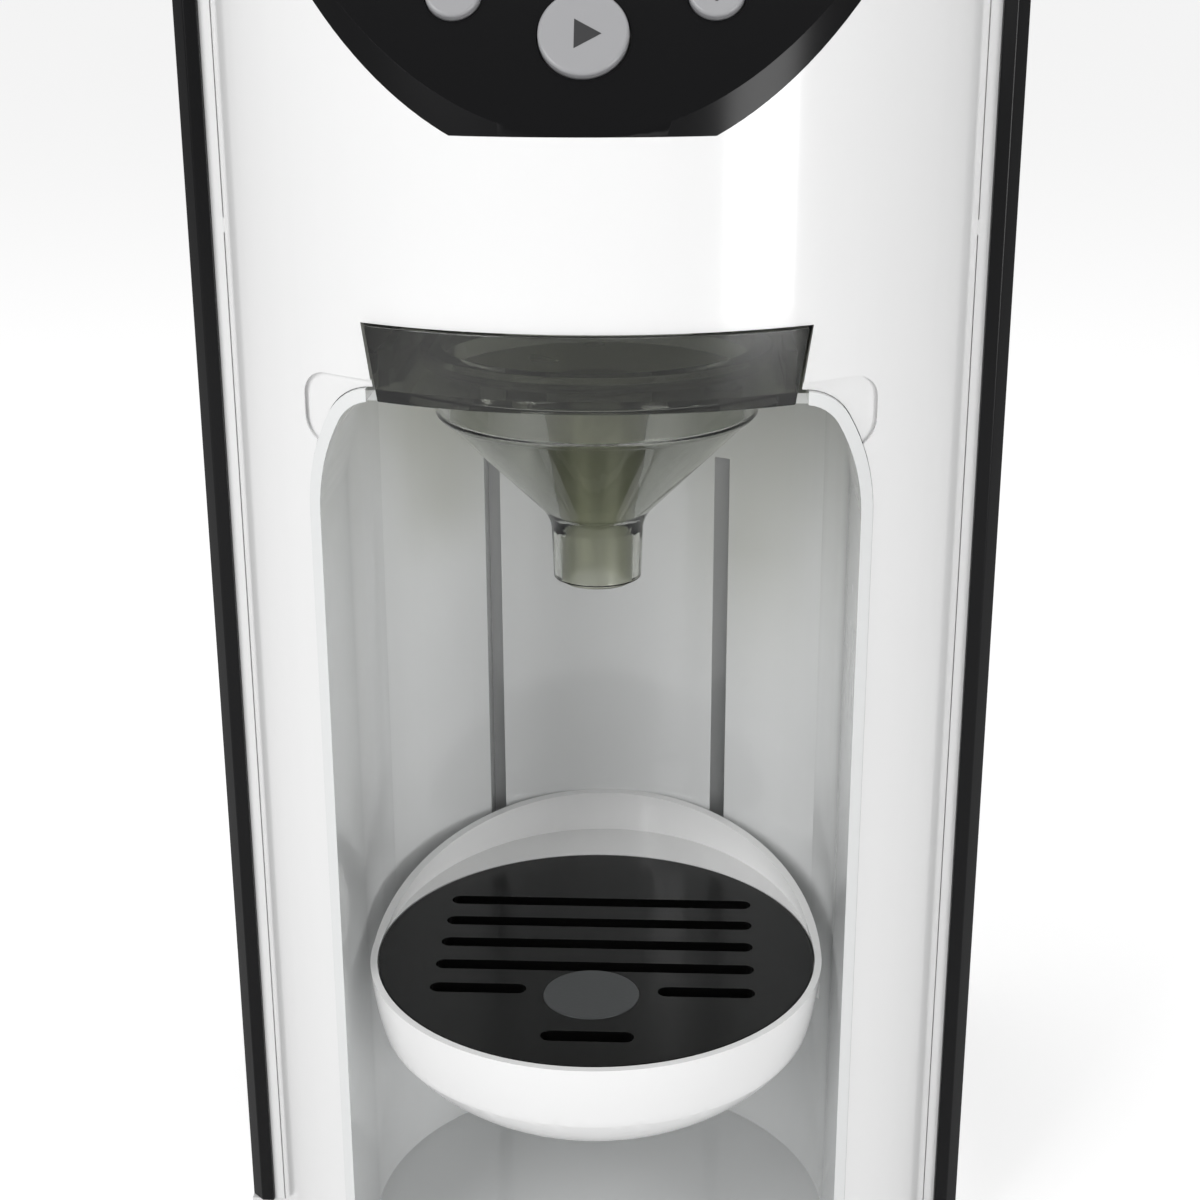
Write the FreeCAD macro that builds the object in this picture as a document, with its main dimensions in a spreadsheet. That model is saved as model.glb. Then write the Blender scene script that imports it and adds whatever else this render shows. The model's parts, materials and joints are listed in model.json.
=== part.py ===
import FreeCAD, Part
import math
import os
import re
import Sketcher

# Baby formula maker: a tower with a bottle bay, a powder system above it and a water tank behind.
# Millimetres, +Z up, the front faces -Y, and the origin is on the table under the middle.

doc = FreeCAD.newDocument("formula_maker")
sheet = doc.addObject("Spreadsheet::Sheet", "sizes")

SIZES = [
    ("half_width", 84.2, "middle to the outside of a side panel"),
    ("overall_back", 135.3, "back of the rear housing"),
    ("body_back", 46.0, "back of the main housing"),
    ("deck_top", 326.0, "top of the top deck"),
    ("foot_rise", 3.0, "part of a foot below the base"),
    ("play", 0.3, "clearance between parts that move past each other"),
    ("fit", 0.05, "radial clearance of a running fit"),
    ("seam", 0.1, "gap between fixed shells"),
    ("over", 1.0, "how far a cutter runs past what it cuts"),
    ("base_thick", 6.0, "thickness of the base plate"),
    ("base_skin", 2.5, "floor left over the base's pockets"),
    ("foot_radius", 8.0, "radius of a rubber foot"),
    ("foot_seat", 2.0, "depth of a foot's seat in the base"),
    ("foot_side", 26.2, "outside of the machine to a foot"),
    ("foot_front", -70.0, "front feet"),
    ("foot_back", 37.3, "back of the machine to the rear feet"),
    ("pocket", 28.0, "side of a pocket under the base"),
    ("pocket_rib", 3.0, "rib between the base's pockets"),
    ("vent_width", 3.0, "width of a vent in the base"),
    ("vent_length", 44.0, "length of a vent in the base"),
    ("vent_pitch", 9.0, "pitch of the vents"),
    ("vent_place", 60.0, "first vent"),
    ("boss_radius", 4.5, "radius of a screw boss"),
    ("boss_height", 24.0, "height of a base screw's boss"),
    ("panel_thick", 5.5, "depth of a side panel's tray"),
    ("panel_skin", 2.5, "wall of a side panel"),
    ("panel_chamfer", 2.7, "bright facet round a side panel"),
    ("panel_overhang", 7.0, "side panel beyond the back of the main housing"),
    ("panel_lead", 1.0, "side panel ahead of the frame"),
    ("panel_rise", 4.0, "side panel over the top deck"),
    ("panel_shoulder", 30.0, "radius of a side panel's upper front corner"),
    ("panel_crown", 12.0, "radius of a side panel's upper back corner"),
    ("panel_toe", 4.0, "radius of a side panel's lower corners"),
    ("panel_rim", 7.0, "solid rim round a side panel's hollow"),
    ("frame_wall", 2.4, "side wall of the white inner frame"),
    ("frame_back", 3.0, "back wall of the inner frame"),
    ("arc_spare", 3.8, "plan radius of the front beyond the fascia's half width"),
    ("fascia_radius", "=half_width - panel_thick - frame_wall - seam + arc_spare", "plan radius of the front"),
    ("fascia_wall", 3.0, "wall of the fascia"),
    ("fascia_front", -125.0, "foremost line of the fascia"),
    ("side_front", "=fascia_front + fascia_radius - sqrt(fascia_radius ^ 2 - (fascia_radius - arc_spare) ^ 2)",
     "front edge of the frame"),
    ("rear_corner", 38.0, "radius of the rear corners"),
    ("head_rise", 62.0, "height of the sloping head"),
    ("head_low", "=deck_top - head_rise", "lower edge of the sloping head"),
    ("head_slope", 60.0, "slope of the head in degrees"),
    ("deck_thick", 3.0, "thickness of the top deck"),
    ("console_thick", 3.0, "thickness of the control plate"),
    ("window_half", 24.0, "half width of the display's hole"),
    ("window_tall", 22.0, "height of the display's hole"),
    ("window_along", 50.0, "lower edge of the head to the middle of the display"),
    ("window_thick", 2.0, "thickness of the display window"),
    ("display_thick", 3.0, "thickness of the display module"),
    ("post_radius", 2.0, "posts that carry the console board"),
    ("board_thick", 1.6, "thickness of a circuit board"),
    ("board_drop", 7.8, "control plate to the console board"),
    ("button_radius", 5.0, "radius of a small button"),
    ("start_radius", 8.0, "radius of the start button"),
    ("button_proud", 1.4, "height of a button over the control plate"),
    ("button_flange", 1.2, "flange that holds a button in its hole"),
    ("button_round", 0.7, "rounding of a button's rim"),
    ("button_stem", 4.6, "flange to the tip of a button's stem"),
    ("bay_half", 52.0, "half width and back radius of the bottle bay"),
    ("bay_axis", -76.5, "centre of the bay's round back"),
    ("bay_wall", 2.4, "wall and visible lip of the bay liner"),
    ("bay_floor", 14.0, "top of the bay's floor"),
    ("lip_proud", 0.5, "bay lip over the fascia"),
    ("arch_reach", 13.0, "sideways reach of the arch's corner"),
    ("arch_drop", 24.0, "height of the arch's corner"),
    ("arch_shoulder", 9.0, "radius of the upper part of the arch's corner"),
    ("ledge", 2.0, "thickness of a drawer ledge"),
    ("ledge_front", -105.0, "front end of the drawer ledges"),
    ("track_place", 26.5, "middle to a guide slot of the stand"),
    ("track_width", 3.4, "width of a guide slot"),
    ("track_depth", 9.0, "depth of a guide slot"),
    ("track_top", 184.0, "top of the guide slots"),
    ("track_low", 22.0, "bottom of the guide slots"),
    ("scoop_half", 54.5, "half width of the shallow grip recess"),
    ("scoop_low", 205.2, "lower edge of the grip recess"),
    ("scoop_high", 219.2, "upper edge of the grip recess"),
    ("scoop_round", 5.0, "corners of the grip recess"),
    ("scoop_depth", 1.0, "depth of the grip recess"),
    ("stand_axis", -88.0, "centre of the drip grille"),
    ("stand_top", 88.0, "top of the drip grille"),
    ("grille_radius", 47.0, "radius of the drip grille"),
    ("grille_thick", 2.4, "thickness of the drip grille"),
    ("rim_wall", 1.5, "rim of the stand round the grille"),
    ("rim_seat", 2.5, "ledge under the grille"),
    ("stand_depth", 30.0, "depth of the stand's bowl"),
    ("stand_wall", 1.8, "wall of the stand"),
    ("stand_reach", 63.5, "grille centre to the back of the stand"),
    ("bowl_flat", 22.0, "radius of the bowl's flat bottom"),
    ("bowl_belly", 14.0, "depth of the bowl's widest curve"),
    ("bowl_curve_low", 38.0, "radius of the bowl's lower curve"),
    ("bowl_curve_high", 60.0, "radius of the bowl's upper curve"),
    ("collar_rise", 10.0, "height of the stand's collar at the back"),
    ("collar_deep", 12.0, "height of the collar's shelf wall below the grille"),
    ("hook_length", 12.0, "length of a hook in its guide slot"),
    ("hook_height", 9.0, "height of a hook"),
    ("slot_pitch", 9.95, "pitch of the drip slots"),
    ("slot_width", 3.8, "width of a drip slot"),
    ("slot_first", 22.3, "grille centre to the rearmost slots"),
    ("slot_end", 34.0, "grille centre to the ends of the slots"),
    ("slot_inner", 13.8, "grille centre to the inner ends of the side slots"),
    ("slot_short", 9.4, "half length of the front slot"),
    ("pad_radius", 10.0, "grey pad in the grille"),
    ("pad_place", -19.3, "grille centre to the pad"),
    ("pad_sink", 0.8, "depth of the pad's seat"),
    ("pad_proud", 0.2, "pad over the grille"),
    ("spout_axis", -75.0, "axis of the funnel and the bottle"),
    ("drawer_low", 215.6, "lower edge of the funnel drawer's front"),
    ("drawer_high", 229.5, "upper edge of the funnel drawer's front"),
    ("drawer_half", 40.6, "half width of the drawer's front at the top"),
    ("drawer_half_low", 38.4, "half width of the drawer's front at the bottom"),
    ("drawer_wall", 2.0, "wall of the drawer"),
    ("drawer_proud", 1.2, "drawer's front over the fascia"),
    ("drawer_reveal", 0.9, "gap beside the drawer's front"),
    ("drawer_side", 9.0, "height of the drawer's side rails"),
    ("drawer_start", -111.4, "front end of the drawer's side rails"),
    ("drawer_tail", -37.0, "back end of the drawer"),
    ("funnel_radius", 33.0, "funnel ring, outside"),
    ("funnel_wall", 1.6, "wall of the funnel"),
    ("funnel_flange", 2.5, "flange that rests on the drawer"),
    ("ring_low", 204.5, "lower edge of the funnel's ring"),
    ("ring_step", 7.0, "height of the nozzle's seat in the ring"),
    ("seat_step", 1.2, "width of the nozzle's seat"),
    ("neck_radius", 9.6, "funnel spout, outside"),
    ("neck_top", 180.5, "where the cone meets the spout"),
    ("neck_flare", 4.0, "height of the flare into the spout"),
    ("spout_low", 169.5, "lower end of the outer spout"),
    ("spout_taper", 0.4, "taper of the spout"),
    ("tube_radius", 7.4, "inner nozzle, outside"),
    ("tube_wall", 1.2, "wall of the inner nozzle"),
    ("tube_low", 168.5, "lower end of the inner nozzle"),
    ("bell_radius", 10.5, "inner nozzle at the funnel's ring"),
    ("bell_mouth", 13.0, "mouth of the inner nozzle"),
    ("hopper_axis", -26.0, "axis of the powder container"),
    ("hopper_radius", 50.0, "powder container, outside"),
    ("hopper_wall", 2.2, "wall of the powder container"),
    ("hopper_floor", 2.5, "floor of the powder container"),
    ("hopper_round", 2.0, "lower edge of the powder container"),
    ("hopper_drop", 5.0, "deck to the rim of the powder container"),
    ("shelf_top", 243.0, "top of the frame's shelf"),
    ("shelf_thick", 3.0, "thickness of the frame's shelf"),
    ("outlet_place", 39.0, "container axis to the powder outlet"),
    ("outlet_radius", 8.0, "powder outlet"),
    ("chute_wall", 3.0, "wall of the powder chute"),
    ("chute_drop", 12.0, "chute below the shelf"),
    ("chute_flange", 1.8, "flange of the chute under the shelf"),
    ("rotor_shaft", 4.0, "radius of the powder drive shaft"),
    ("wheel_gap", 0.8, "gap round the dosing wheel"),
    ("wheel_rim", 2.5, "rim of the dosing wheel"),
    ("wheel_height", 6.0, "height of the dosing wheel"),
    ("wheel_hub", 9.0, "hub of the dosing wheel"),
    ("hub_height", 10.0, "height of the hub"),
    ("fin_count", 12, "cells of the dosing wheel"),
    ("fin_thick", 2.0, "wall between two cells"),
    ("paddle_gap", 6.0, "container's wall to the stirring paddle"),
    ("paddle_bar", 3.0, "thickness of the paddle's bars"),
    ("paddle_arm", 5.0, "height of the paddle's arm"),
    ("paddle_hub", 7.0, "hub of the paddle"),
    ("paddle_hub_height", 8.0, "height of the paddle's hub"),
    ("paddle_tall", 46.0, "taller post of the paddle"),
    ("paddle_short", 30.0, "shorter post of the paddle"),
    ("lid_rise", 9.0, "height of the powder lid over the deck"),
    ("lid_skin", 2.5, "wall of the powder lid"),
    ("lid_flat", 30.0, "flat top of the powder lid"),
    ("lid_curve", 88.0, "radius of the powder lid's shoulder"),
    ("lid_brim", 4.0, "powder lid beyond the container"),
    ("seal_width", 4.3, "width of the lid's seal"),
    ("gear_module", 1.0, "module of the powder drive gears"),
    ("gear_teeth", 40, "teeth of the driven gear"),
    ("pinion_teeth", 12, "teeth of the motor's pinion"),
    ("gear_low", 230.5, "underside of the gears"),
    ("gear_width", 5.5, "width of the gears"),
    ("gear_backlash", 0.16, "play between the teeth"),
    ("gear_hub", 3.2, "wall of the driven gear's hub"),
    ("hub_drop", 3.0, "hub below the driven gear"),
    ("hub_rise", 2.0, "hub over the driven gear"),
    ("motor_radius", 12.5, "motor, outside"),
    ("motor_length", 38.0, "length of the motor"),
    ("motor_collar", 4.0, "radius of the motor's locating collar"),
    ("motor_shaft", 1.5, "radius of the motor's shaft"),
    ("gearbox_wall", 2.0, "wall of the gearbox tray"),
    ("gearbox_air", 1.5, "air round the driven gear"),
    ("lug_height", 6.0, "height of a lug"),
    ("rear_wall", 3.0, "wall of the rear housing"),
    ("bay_deck", 96.0, "top of the tank's seat"),
    ("tank_low", 98.3, "underside of the water tank"),
    ("tank_drop", 10.0, "deck to the rim of the water tank"),
    ("tank_wall", 2.5, "wall of the water tank"),
    ("tank_gap", 0.5, "side panel to the front of the tank"),
    ("tank_inset", 3.2, "outside of the machine to the tank's side"),
    ("tank_pad", 7.0, "radius of a pad under the tank"),
    ("valve_place", 84.0, "tank valve's axis"),
    ("valve_radius", 4.0, "radius of the valve plunger's stem"),
    ("valve_flange", 4.0, "flange of the valve plunger over its stem"),
    ("valve_seal", 1.4, "thickness of the valve's seal"),
    ("lid_thick", 3.0, "thickness of the tank lid"),
    ("lid_lip", 4.0, "depth of the tank lid's inner lip"),
    ("lid_lip_wall", 1.5, "wall of the tank lid's inner lip"),
    ("hinge_place", 34.0, "middle to a hinge of the tank lid"),
    ("hinge_half", 4.0, "half length of a hinge barrel"),
    ("hinge_ear", 3.7, "thickness of a hinge ear"),
    ("hinge_radius", 2.2, "radius of a hinge barrel"),
    ("hinge_pin", 1.0, "radius of a hinge pin"),
    ("hinge_out", 0.6, "hinge axis behind the tank"),
    ("ear_tall", 8.0, "height of a hinge ear on the tank"),
    ("inlet_place", 30.0, "middle to the mains inlet"),
    ("inlet_low", 25.0, "underside of the mains inlet"),
    ("inlet_wide", 27.0, "width of the mains inlet"),
    ("inlet_tall", 20.0, "height of the mains inlet"),
    ("inlet_deep", 16.0, "mains inlet inside the housing"),
    ("inlet_rim", 2.0, "flange of the mains inlet"),
    ("inlet_rim_thick", 1.5, "thickness of the inlet's flange"),
    ("pump_radius", 16.0, "pump's motor"),
    ("pump_head", 19.0, "pump's head"),
    ("pump_height", 34.0, "axis of the pump"),
    ("hose_radius", 3.0, "water hoses"),
    ("heater_x", -45.0, "axis of the heater, sideways"),
    ("heater_y", 12.0, "axis of the heater, front to back"),
    ("heater_low", 60.0, "underside of the heater"),
    ("heater_tall", 96.0, "height of the heater"),
    ("heater_radius", 17.0, "heater, outside"),
    ("heater_flange", 20.0, "flanges of the heater"),
    ("nozzle_x", -24.0, "axis of the water nozzle"),
    ("nozzle_hang", 17.0, "underside of the shelf to the axis of the water nozzle"),
    ("nozzle_height", "=shelf_top - shelf_thick - nozzle_hang", "height of the water nozzle"),
    ("nozzle_long", 28.0, "length of the water nozzle"),
    ("nozzle_tip", 2.0, "closed end of the water nozzle"),
    ("nozzle_outlet", 23.5, "back end of the water nozzle to its outlet"),
    ("nozzle_post_wide", 5.0, "width of the post that holds the water nozzle"),
    ("nozzle_post_deep", 6.0, "depth of the post that holds the water nozzle"),
    ("nozzle_post_back", 18.0, "back end of the water nozzle to its post"),
    ("nozzle_radius", 2.8, "water nozzle, outside"),
    ("nozzle_bore", 1.6, "bore of the water nozzle"),
    ("screw_head", 3.2, "radius of a screw's head"),
    ("screw_head_high", 1.8, "height of a screw's head"),
    ("screw_shank", 1.6, "radius of a screw's shank"),
    ("screw_length", 16.0, "shank of a base screw"),
]

for row, (alias, value, words) in enumerate(SIZES, start=1):
    sheet.set("A%d" % row, words)
    sheet.setAlias("B%d" % row, alias)
for row, (alias, value, words) in enumerate(SIZES, start=1):
    sheet.set("B%d" % row, str(value))
doc.recompute()

NODES = []

def with_sheet(text):
    """Point each size's name in an expression at the sheet."""
    return re.sub(r"\b(?!(?:sqrt|sin|cos|tan)\b)([a-z][a-z_0-9]*)", r"sizes.\1", str(text))


def val(text):
    """Work out an expression of the sheet's sizes as a plain number."""
    return float(sheet.evalExpression(str(text)))


def bind(obj, prop, text):
    obj.setExpression(prop, with_sheet(text))


def place(obj, x="0", y="0", z="0"):
    for axis, text in (("x", x), ("y", y), ("z", z)):
        bind(obj, ".Placement.Base." + axis, text)
    return obj


def box(name, dx, dy, dz, x="0", y="0", z="0"):
    made = doc.addObject("Part::Box", name)
    bind(made, "Length", dx)
    bind(made, "Width", dy)
    bind(made, "Height", dz)
    return place(made, x, y, z)


def cylinder(name, radius, height, x="0", y="0", z="0", axis=None, angle=90):
    made = doc.addObject("Part::Cylinder", name)
    bind(made, "Radius", radius)
    bind(made, "Height", height)
    if axis:
        made.Placement.Rotation = FreeCAD.Rotation(FreeCAD.Vector(*axis), angle)
    return place(made, x, y, z)



def fuse(name, *shapes):
    made = doc.addObject("Part::MultiFuse", name)
    made.Shapes = list(shapes)
    made.Refine = True
    return made


def cut(name, base, *tools):
    made = doc.addObject("Part::Cut", name)
    made.Base = base
    made.Tool = tools[0] if len(tools) == 1 else fuse(name + "_tools", *tools)
    made.Refine = True
    return made


def common(name, first, second):
    made = doc.addObject("Part::MultiCommon", name)
    made.Shapes = [first, second]
    made.Refine = True
    return made


def mirrored(name, source):
    made = doc.addObject("Part::Mirroring", name)
    made.Source = source
    made.Normal = FreeCAD.Vector(1, 0, 0)
    return made


def group(name, *solids):
    """Several separate solids in one node."""
    made = doc.addObject("Part::Compound", name)
    made.Links = list(solids)
    return made


def node(obj, label):
    obj.Label = label
    NODES.append(obj)
    return obj


def find_plane(body, role):
    return [f for f in body.Origin.OriginFeatures if f.Role == role][0]


def sketch(body, role, name, loops):
    """A sketch of closed loops. A point is (x, y), or (x, y, radius, turn) where an arc starts."""
    made = body.newObject("Sketcher::SketchObject", name)
    made.AttachmentSupport = [(find_plane(body, role), "")]
    made.MapMode = "FlatFace"

    def hold(kind, text, *where):
        index = made.addConstraint(Sketcher.Constraint(kind, *where, val(text)))
        made.setExpression("Constraints[%d]" % index, with_sheet(text))

    for loop in loops:
        if loop[0] == "circle":
            middle = FreeCAD.Vector(val(loop[1]), val(loop[2]), 0)
            ring = Part.Circle(middle, FreeCAD.Vector(0, 0, 1), val(loop[3]))
            index = made.addGeometry(ring)
            hold("DistanceX", loop[1], -1, 1, index, 3)
            hold("DistanceY", loop[2], -1, 1, index, 3)
            hold("Radius", loop[3], index)
            continue
        points = [FreeCAD.Vector(val(p[0]), val(p[1]), 0) for p in loop]
        ends = []
        for i, p in enumerate(loop):
            start = points[i]
            stop = points[(i + 1) % len(points)]
            if len(p) == 2:
                index = made.addGeometry(Part.LineSegment(start, stop))
                ends.append((index, 1, 2))
                continue
            radius = val(p[2])
            left = p[3] == "left"
            run = stop - start
            rise = math.sqrt(max(radius ** 2 - run.Length ** 2 / 4, 0))
            side = FreeCAD.Vector(-run.y, run.x, 0).normalize() * (rise if left else -rise)
            middle = (start + stop) * 0.5 + side
            first, last = (start, stop) if left else (stop, start)
            turn_a = math.atan2(first.y - middle.y, first.x - middle.x)
            turn_b = math.atan2(last.y - middle.y, last.x - middle.x)
            ring = Part.Circle(middle, FreeCAD.Vector(0, 0, 1), radius)
            index = made.addGeometry(Part.ArcOfCircle(ring, turn_a, turn_b))
            ends.append((index, 1, 2) if left else (index, 2, 1))
        for i, p in enumerate(loop):
            index, start, stop = ends[i]
            following = ends[(i + 1) % len(loop)]
            made.addConstraint(Sketcher.Constraint("Coincident", index, stop, following[0], following[1]))
            hold("DistanceX", p[0], -1, 1, index, start)
            hold("DistanceY", p[1], -1, 1, index, start)
            if len(p) > 2:
                hold("Radius", p[2], index)
    return made


def pad(name, role, loops, length, x="0", y="0", z="0"):
    """A body with one padded sketch. It grows along +Z, -Y or +X from its plane."""
    body = doc.addObject("PartDesign::Body", name)
    outline = sketch(body, role, name + "_outline", loops)
    grown = body.newObject("PartDesign::Pad", name + "_pad")
    grown.Profile = outline
    bind(grown, "Length", length)
    return place(body, x, y, z)


def turned(name, loops, x="0", y="0", z="0"):
    """A body turned about its own Z axis from a half section."""
    body = doc.addObject("PartDesign::Body", name)
    section = sketch(body, "XZ_Plane", name + "_section", loops)
    grown = body.newObject("PartDesign::Revolution", name + "_turn")
    grown.Profile = section
    grown.ReferenceAxis = (section, ["V_Axis"])
    grown.Angle = 360
    return place(body, x, y, z)


def screws(label, places, head_low, length):
    """Screws driven upwards, as one node of separate solids."""
    made = []
    for i, (x, y) in enumerate(places):
        made.append(turned("%s_%d" % (label, i), [[
            ("0", "0"), ("screw_head", "0"), ("screw_head", "screw_head_high"),
            ("screw_shank", "screw_head_high"), ("screw_shank", "screw_head_high + (%s)" % length),
            ("0", "screw_head_high + (%s)" % length)]], x, y, head_low))
    return node(group(label + "_group", *made), label)


# Shared lines: the plan of the front is an arc about a point behind the fascia.
ARC_Y = "(fascia_front + fascia_radius)"
FRAME_OUT = "(half_width - panel_thick)"
FRAME_IN = "(half_width - panel_thick - frame_wall)"
FASCIA_EDGE = "(half_width - panel_thick - frame_wall - seam)"
BASE_TOP = "(foot_rise + base_thick)"
SHELF_LOW = "(shelf_top - shelf_thick)"
PANEL_FRONT = "(side_front - panel_lead)"
PANEL_BACK = "(body_back + panel_overhang)"
CORNER_X = "(half_width - rear_corner)"
CORNER_Y = "(overall_back - rear_corner)"
SIDES = (("left", "-"), ("right", ""))


def head_wedge(name, lift):
    """The space in front of and above the sloping head, moved along its normal by lift."""
    start = "fascia_front - (%s) / sin(head_slope)" % lift
    wedge = pad(name + "_side", "YZ_Plane", [[
        (start + " - head_rise", "head_low - head_rise * tan(head_slope)"),
        (start + " + head_rise", "head_low + head_rise * tan(head_slope)"),
        ("fascia_front - 2 * head_rise", "head_low + head_rise * tan(head_slope)"),
        ("fascia_front - 2 * head_rise", "head_low - head_rise * tan(head_slope)")]],
        "2 * half_width", "-half_width")
    above = box(name + "_above", "2 * half_width", "4 * head_rise", "3 * head_rise", "-half_width",
                "fascia_front - 2 * head_rise", "head_low")
    return common(name, wedge, above)


def front_arc(name, radius, low, high, back="side_front"):
    """A solid sector of the front's plan, in front of a line."""
    disc = cylinder(name + "_disc", radius, "(%s) - (%s)" % (high, low), "0", ARC_Y, low)
    keep = box(name + "_keep", "2 * " + FASCIA_EDGE, "%s - fascia_front + over" % back,
               "(%s) - (%s)" % (high, low), "-" + FASCIA_EDGE, "fascia_front - over", low)
    return common(name, disc, keep)


# Base plate: front arc, straight sides, round rear corners, and pockets with ribs underneath.
base_outline = [
    ("-" + FASCIA_EDGE, "side_front", "fascia_radius", "left"),
    (FASCIA_EDGE, "side_front"),
    ("half_width", "side_front"),
    ("half_width", CORNER_Y, "rear_corner", "left"),
    (CORNER_X, "overall_back"),
    ("-(%s)" % CORNER_X, "overall_back", "rear_corner", "left"),
    ("-half_width", CORNER_Y),
    ("-half_width", "side_front"),
]
base_blank = pad("base_blank", "XY_Plane", [base_outline], "base_thick", "0", "0", "foot_rise")
FOOT_X = "(half_width - foot_side)"
FOOT_BACK = "(overall_back - foot_back)"
FEET = [("-" + FOOT_X, "foot_front"), (FOOT_X, "foot_front"), ("-" + FOOT_X, FOOT_BACK), (FOOT_X, FOOT_BACK)]
BOSS_X = "(%s - boss_radius + 2 * seam)" % FRAME_IN
BOSS_FRONT = "(side_front + 6 * boss_radius)"
BOSS_BACK = "(body_back - 5 * boss_radius)"
BASE_SCREWS = [("-" + BOSS_X, BOSS_FRONT), (BOSS_X, BOSS_FRONT), ("-" + BOSS_X, BOSS_BACK), (BOSS_X, BOSS_BACK)]
base_tools = []
for i, (x, y) in enumerate(FEET):
    base_tools.append(cylinder("foot_seat_%d" % i, "foot_radius + play", "foot_seat + over", x, y,
                               "foot_rise - over"))
for i, (x, y) in enumerate(BASE_SCREWS):
    base_tools.append(cylinder("base_hole_%d" % i, "screw_shank + fit", "base_thick + 2 * over", x, y,
                               "foot_rise - over"))
    base_tools.append(cylinder("base_sink_%d" % i, "screw_head + fit", "screw_head_high + seam + over", x, y,
                               "foot_rise - over"))
for i in range(5):
    base_tools.append(box("base_vent_%d" % i, "vent_length", "vent_width", "base_thick + 2 * over",
                          "-vent_length / 2", "vent_place + %d * vent_pitch" % i, "foot_rise - over"))
for i in range(9):
    base_tools.append(box("base_pocket_%d" % i, "pocket", "pocket", "base_thick - base_skin + over",
                          "%d * (pocket + pocket_rib) - pocket / 2" % (i % 3 - 1),
                          "%d * (pocket + pocket_rib) - pocket" % (i // 3 - 1), "foot_rise - over"))
node(cut("base_cut", base_blank, *base_tools), "base_plate")

feet = []
for i, (x, y) in enumerate(FEET):
    feet.append(turned("foot_%d" % i, [[
        ("0", "0"), ("foot_radius - 1", "0"), ("foot_radius", "1"), ("foot_radius", "foot_rise + foot_seat"),
        ("0", "foot_rise + foot_seat")]], x, y, "0"))
node(group("feet_group", *feet), "rubber_feet")

# Arch of the bottle bay: each corner is a tight arc over a wide one, so it shoulders like a bottle.
ARCH_TOP = "(drawer_low - play)"
ARCH_WIDE = ("((arch_reach ^ 2 + arch_drop ^ 2 - 2 * arch_drop * arch_shoulder)"
             " / (2 * arch_reach - 2 * arch_shoulder))")
ARCH_U = "((%s - arch_reach) / (%s - arch_shoulder))" % (ARCH_WIDE, ARCH_WIDE)
ARCH_V = "((arch_drop - arch_shoulder) / (%s - arch_shoulder))" % ARCH_WIDE


def arch_loop(grow, low):
    """The outline of the bay's arch, grown outwards, down to a height."""
    half = "(bay_half + %s)" % grow
    tight = "(arch_shoulder + %s)" % grow
    wide = "(%s + %s)" % (ARCH_WIDE, grow)
    top = "(%s + %s)" % (ARCH_TOP, grow)
    join_x = "(bay_half - arch_reach + %s * %s)" % (tight, ARCH_U)
    join_z = "(%s - arch_shoulder + %s * %s)" % (ARCH_TOP, tight, ARCH_V)
    foot = "(%s - arch_drop)" % ARCH_TOP
    return [
        ("-" + half, low), (half, low), (half, foot, wide, "left"), (join_x, join_z, tight, "left"),
        ("bay_half - arch_reach", top), ("arch_reach - bay_half", top, tight, "left"),
        ("-" + join_x, join_z, wide, "left"), ("-" + half, foot)]


# Front fascia: a curved shell with the bay's arch, the drawer's slot and a shallow grip recess.
fascia_out = front_arc("fascia_out", "fascia_radius", BASE_TOP, "deck_top - deck_thick")
fascia_in = cylinder("fascia_in", "fascia_radius - fascia_wall", "deck_top", "0", ARC_Y, "0")
SLOT_HALF = "(drawer_half + drawer_reveal)"
SLOT_HALF_LOW = "(drawer_half_low + drawer_reveal)"
FRONT_DEEP = "(side_front - fascia_front + 2 * over)"
arch_cutter = pad("arch_cutter", "XZ_Plane", [arch_loop("(bay_wall + seam)", "(bay_floor - bay_wall)")],
                  FRONT_DEEP, "0", "side_front + over")
slot_cutter = pad("slot_cutter", "XZ_Plane", [[
    ("-" + SLOT_HALF_LOW, ARCH_TOP), (SLOT_HALF_LOW, ARCH_TOP), (SLOT_HALF, "drawer_high + play"),
    ("-" + SLOT_HALF, "drawer_high + play")]], FRONT_DEEP, "0", "side_front + over")
scoop_block = pad("scoop_block", "XZ_Plane", [[
    ("-scoop_half + scoop_round", "scoop_low"), ("scoop_half - scoop_round", "scoop_low", "scoop_round", "left"),
    ("scoop_half", "scoop_low + scoop_round"), ("scoop_half", "scoop_high - scoop_round", "scoop_round", "left"),
    ("scoop_half - scoop_round", "scoop_high"), ("-scoop_half + scoop_round", "scoop_high", "scoop_round", "left"),
    ("-scoop_half", "scoop_high - scoop_round"), ("-scoop_half", "scoop_low + scoop_round", "scoop_round", "left"),
    ]], FRONT_DEEP, "0", "side_front + over")
scoop_core = cylinder("scoop_core", "fascia_radius - scoop_depth", "deck_top", "0", ARC_Y, "0")
node(cut("fascia_cut", fascia_out, fascia_in, arch_cutter, slot_cutter, cut("scoops", scoop_block, scoop_core),
         head_wedge("fascia_wedge", "-console_thick")), "front_fascia")


# Bottle bay liner: a vault with a round back, a lip that shows in the fascia, two closed guide
# channels for the stand and two ledges for the drawer.
def bay_plan(name, half, low, high):
    """The bay's plan: a half round back and straight sides running to the front."""
    disc = cylinder(name + "_disc", half, "(%s) - (%s)" % (high, low), "0", "bay_axis", low)
    front = box(name + "_front", "2 * (%s)" % half, "bay_axis - fascia_front + 2 * over",
                "(%s) - (%s)" % (high, low), "-(%s)" % half, "fascia_front - 2 * over", low)
    return fuse(name, disc, front)


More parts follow.
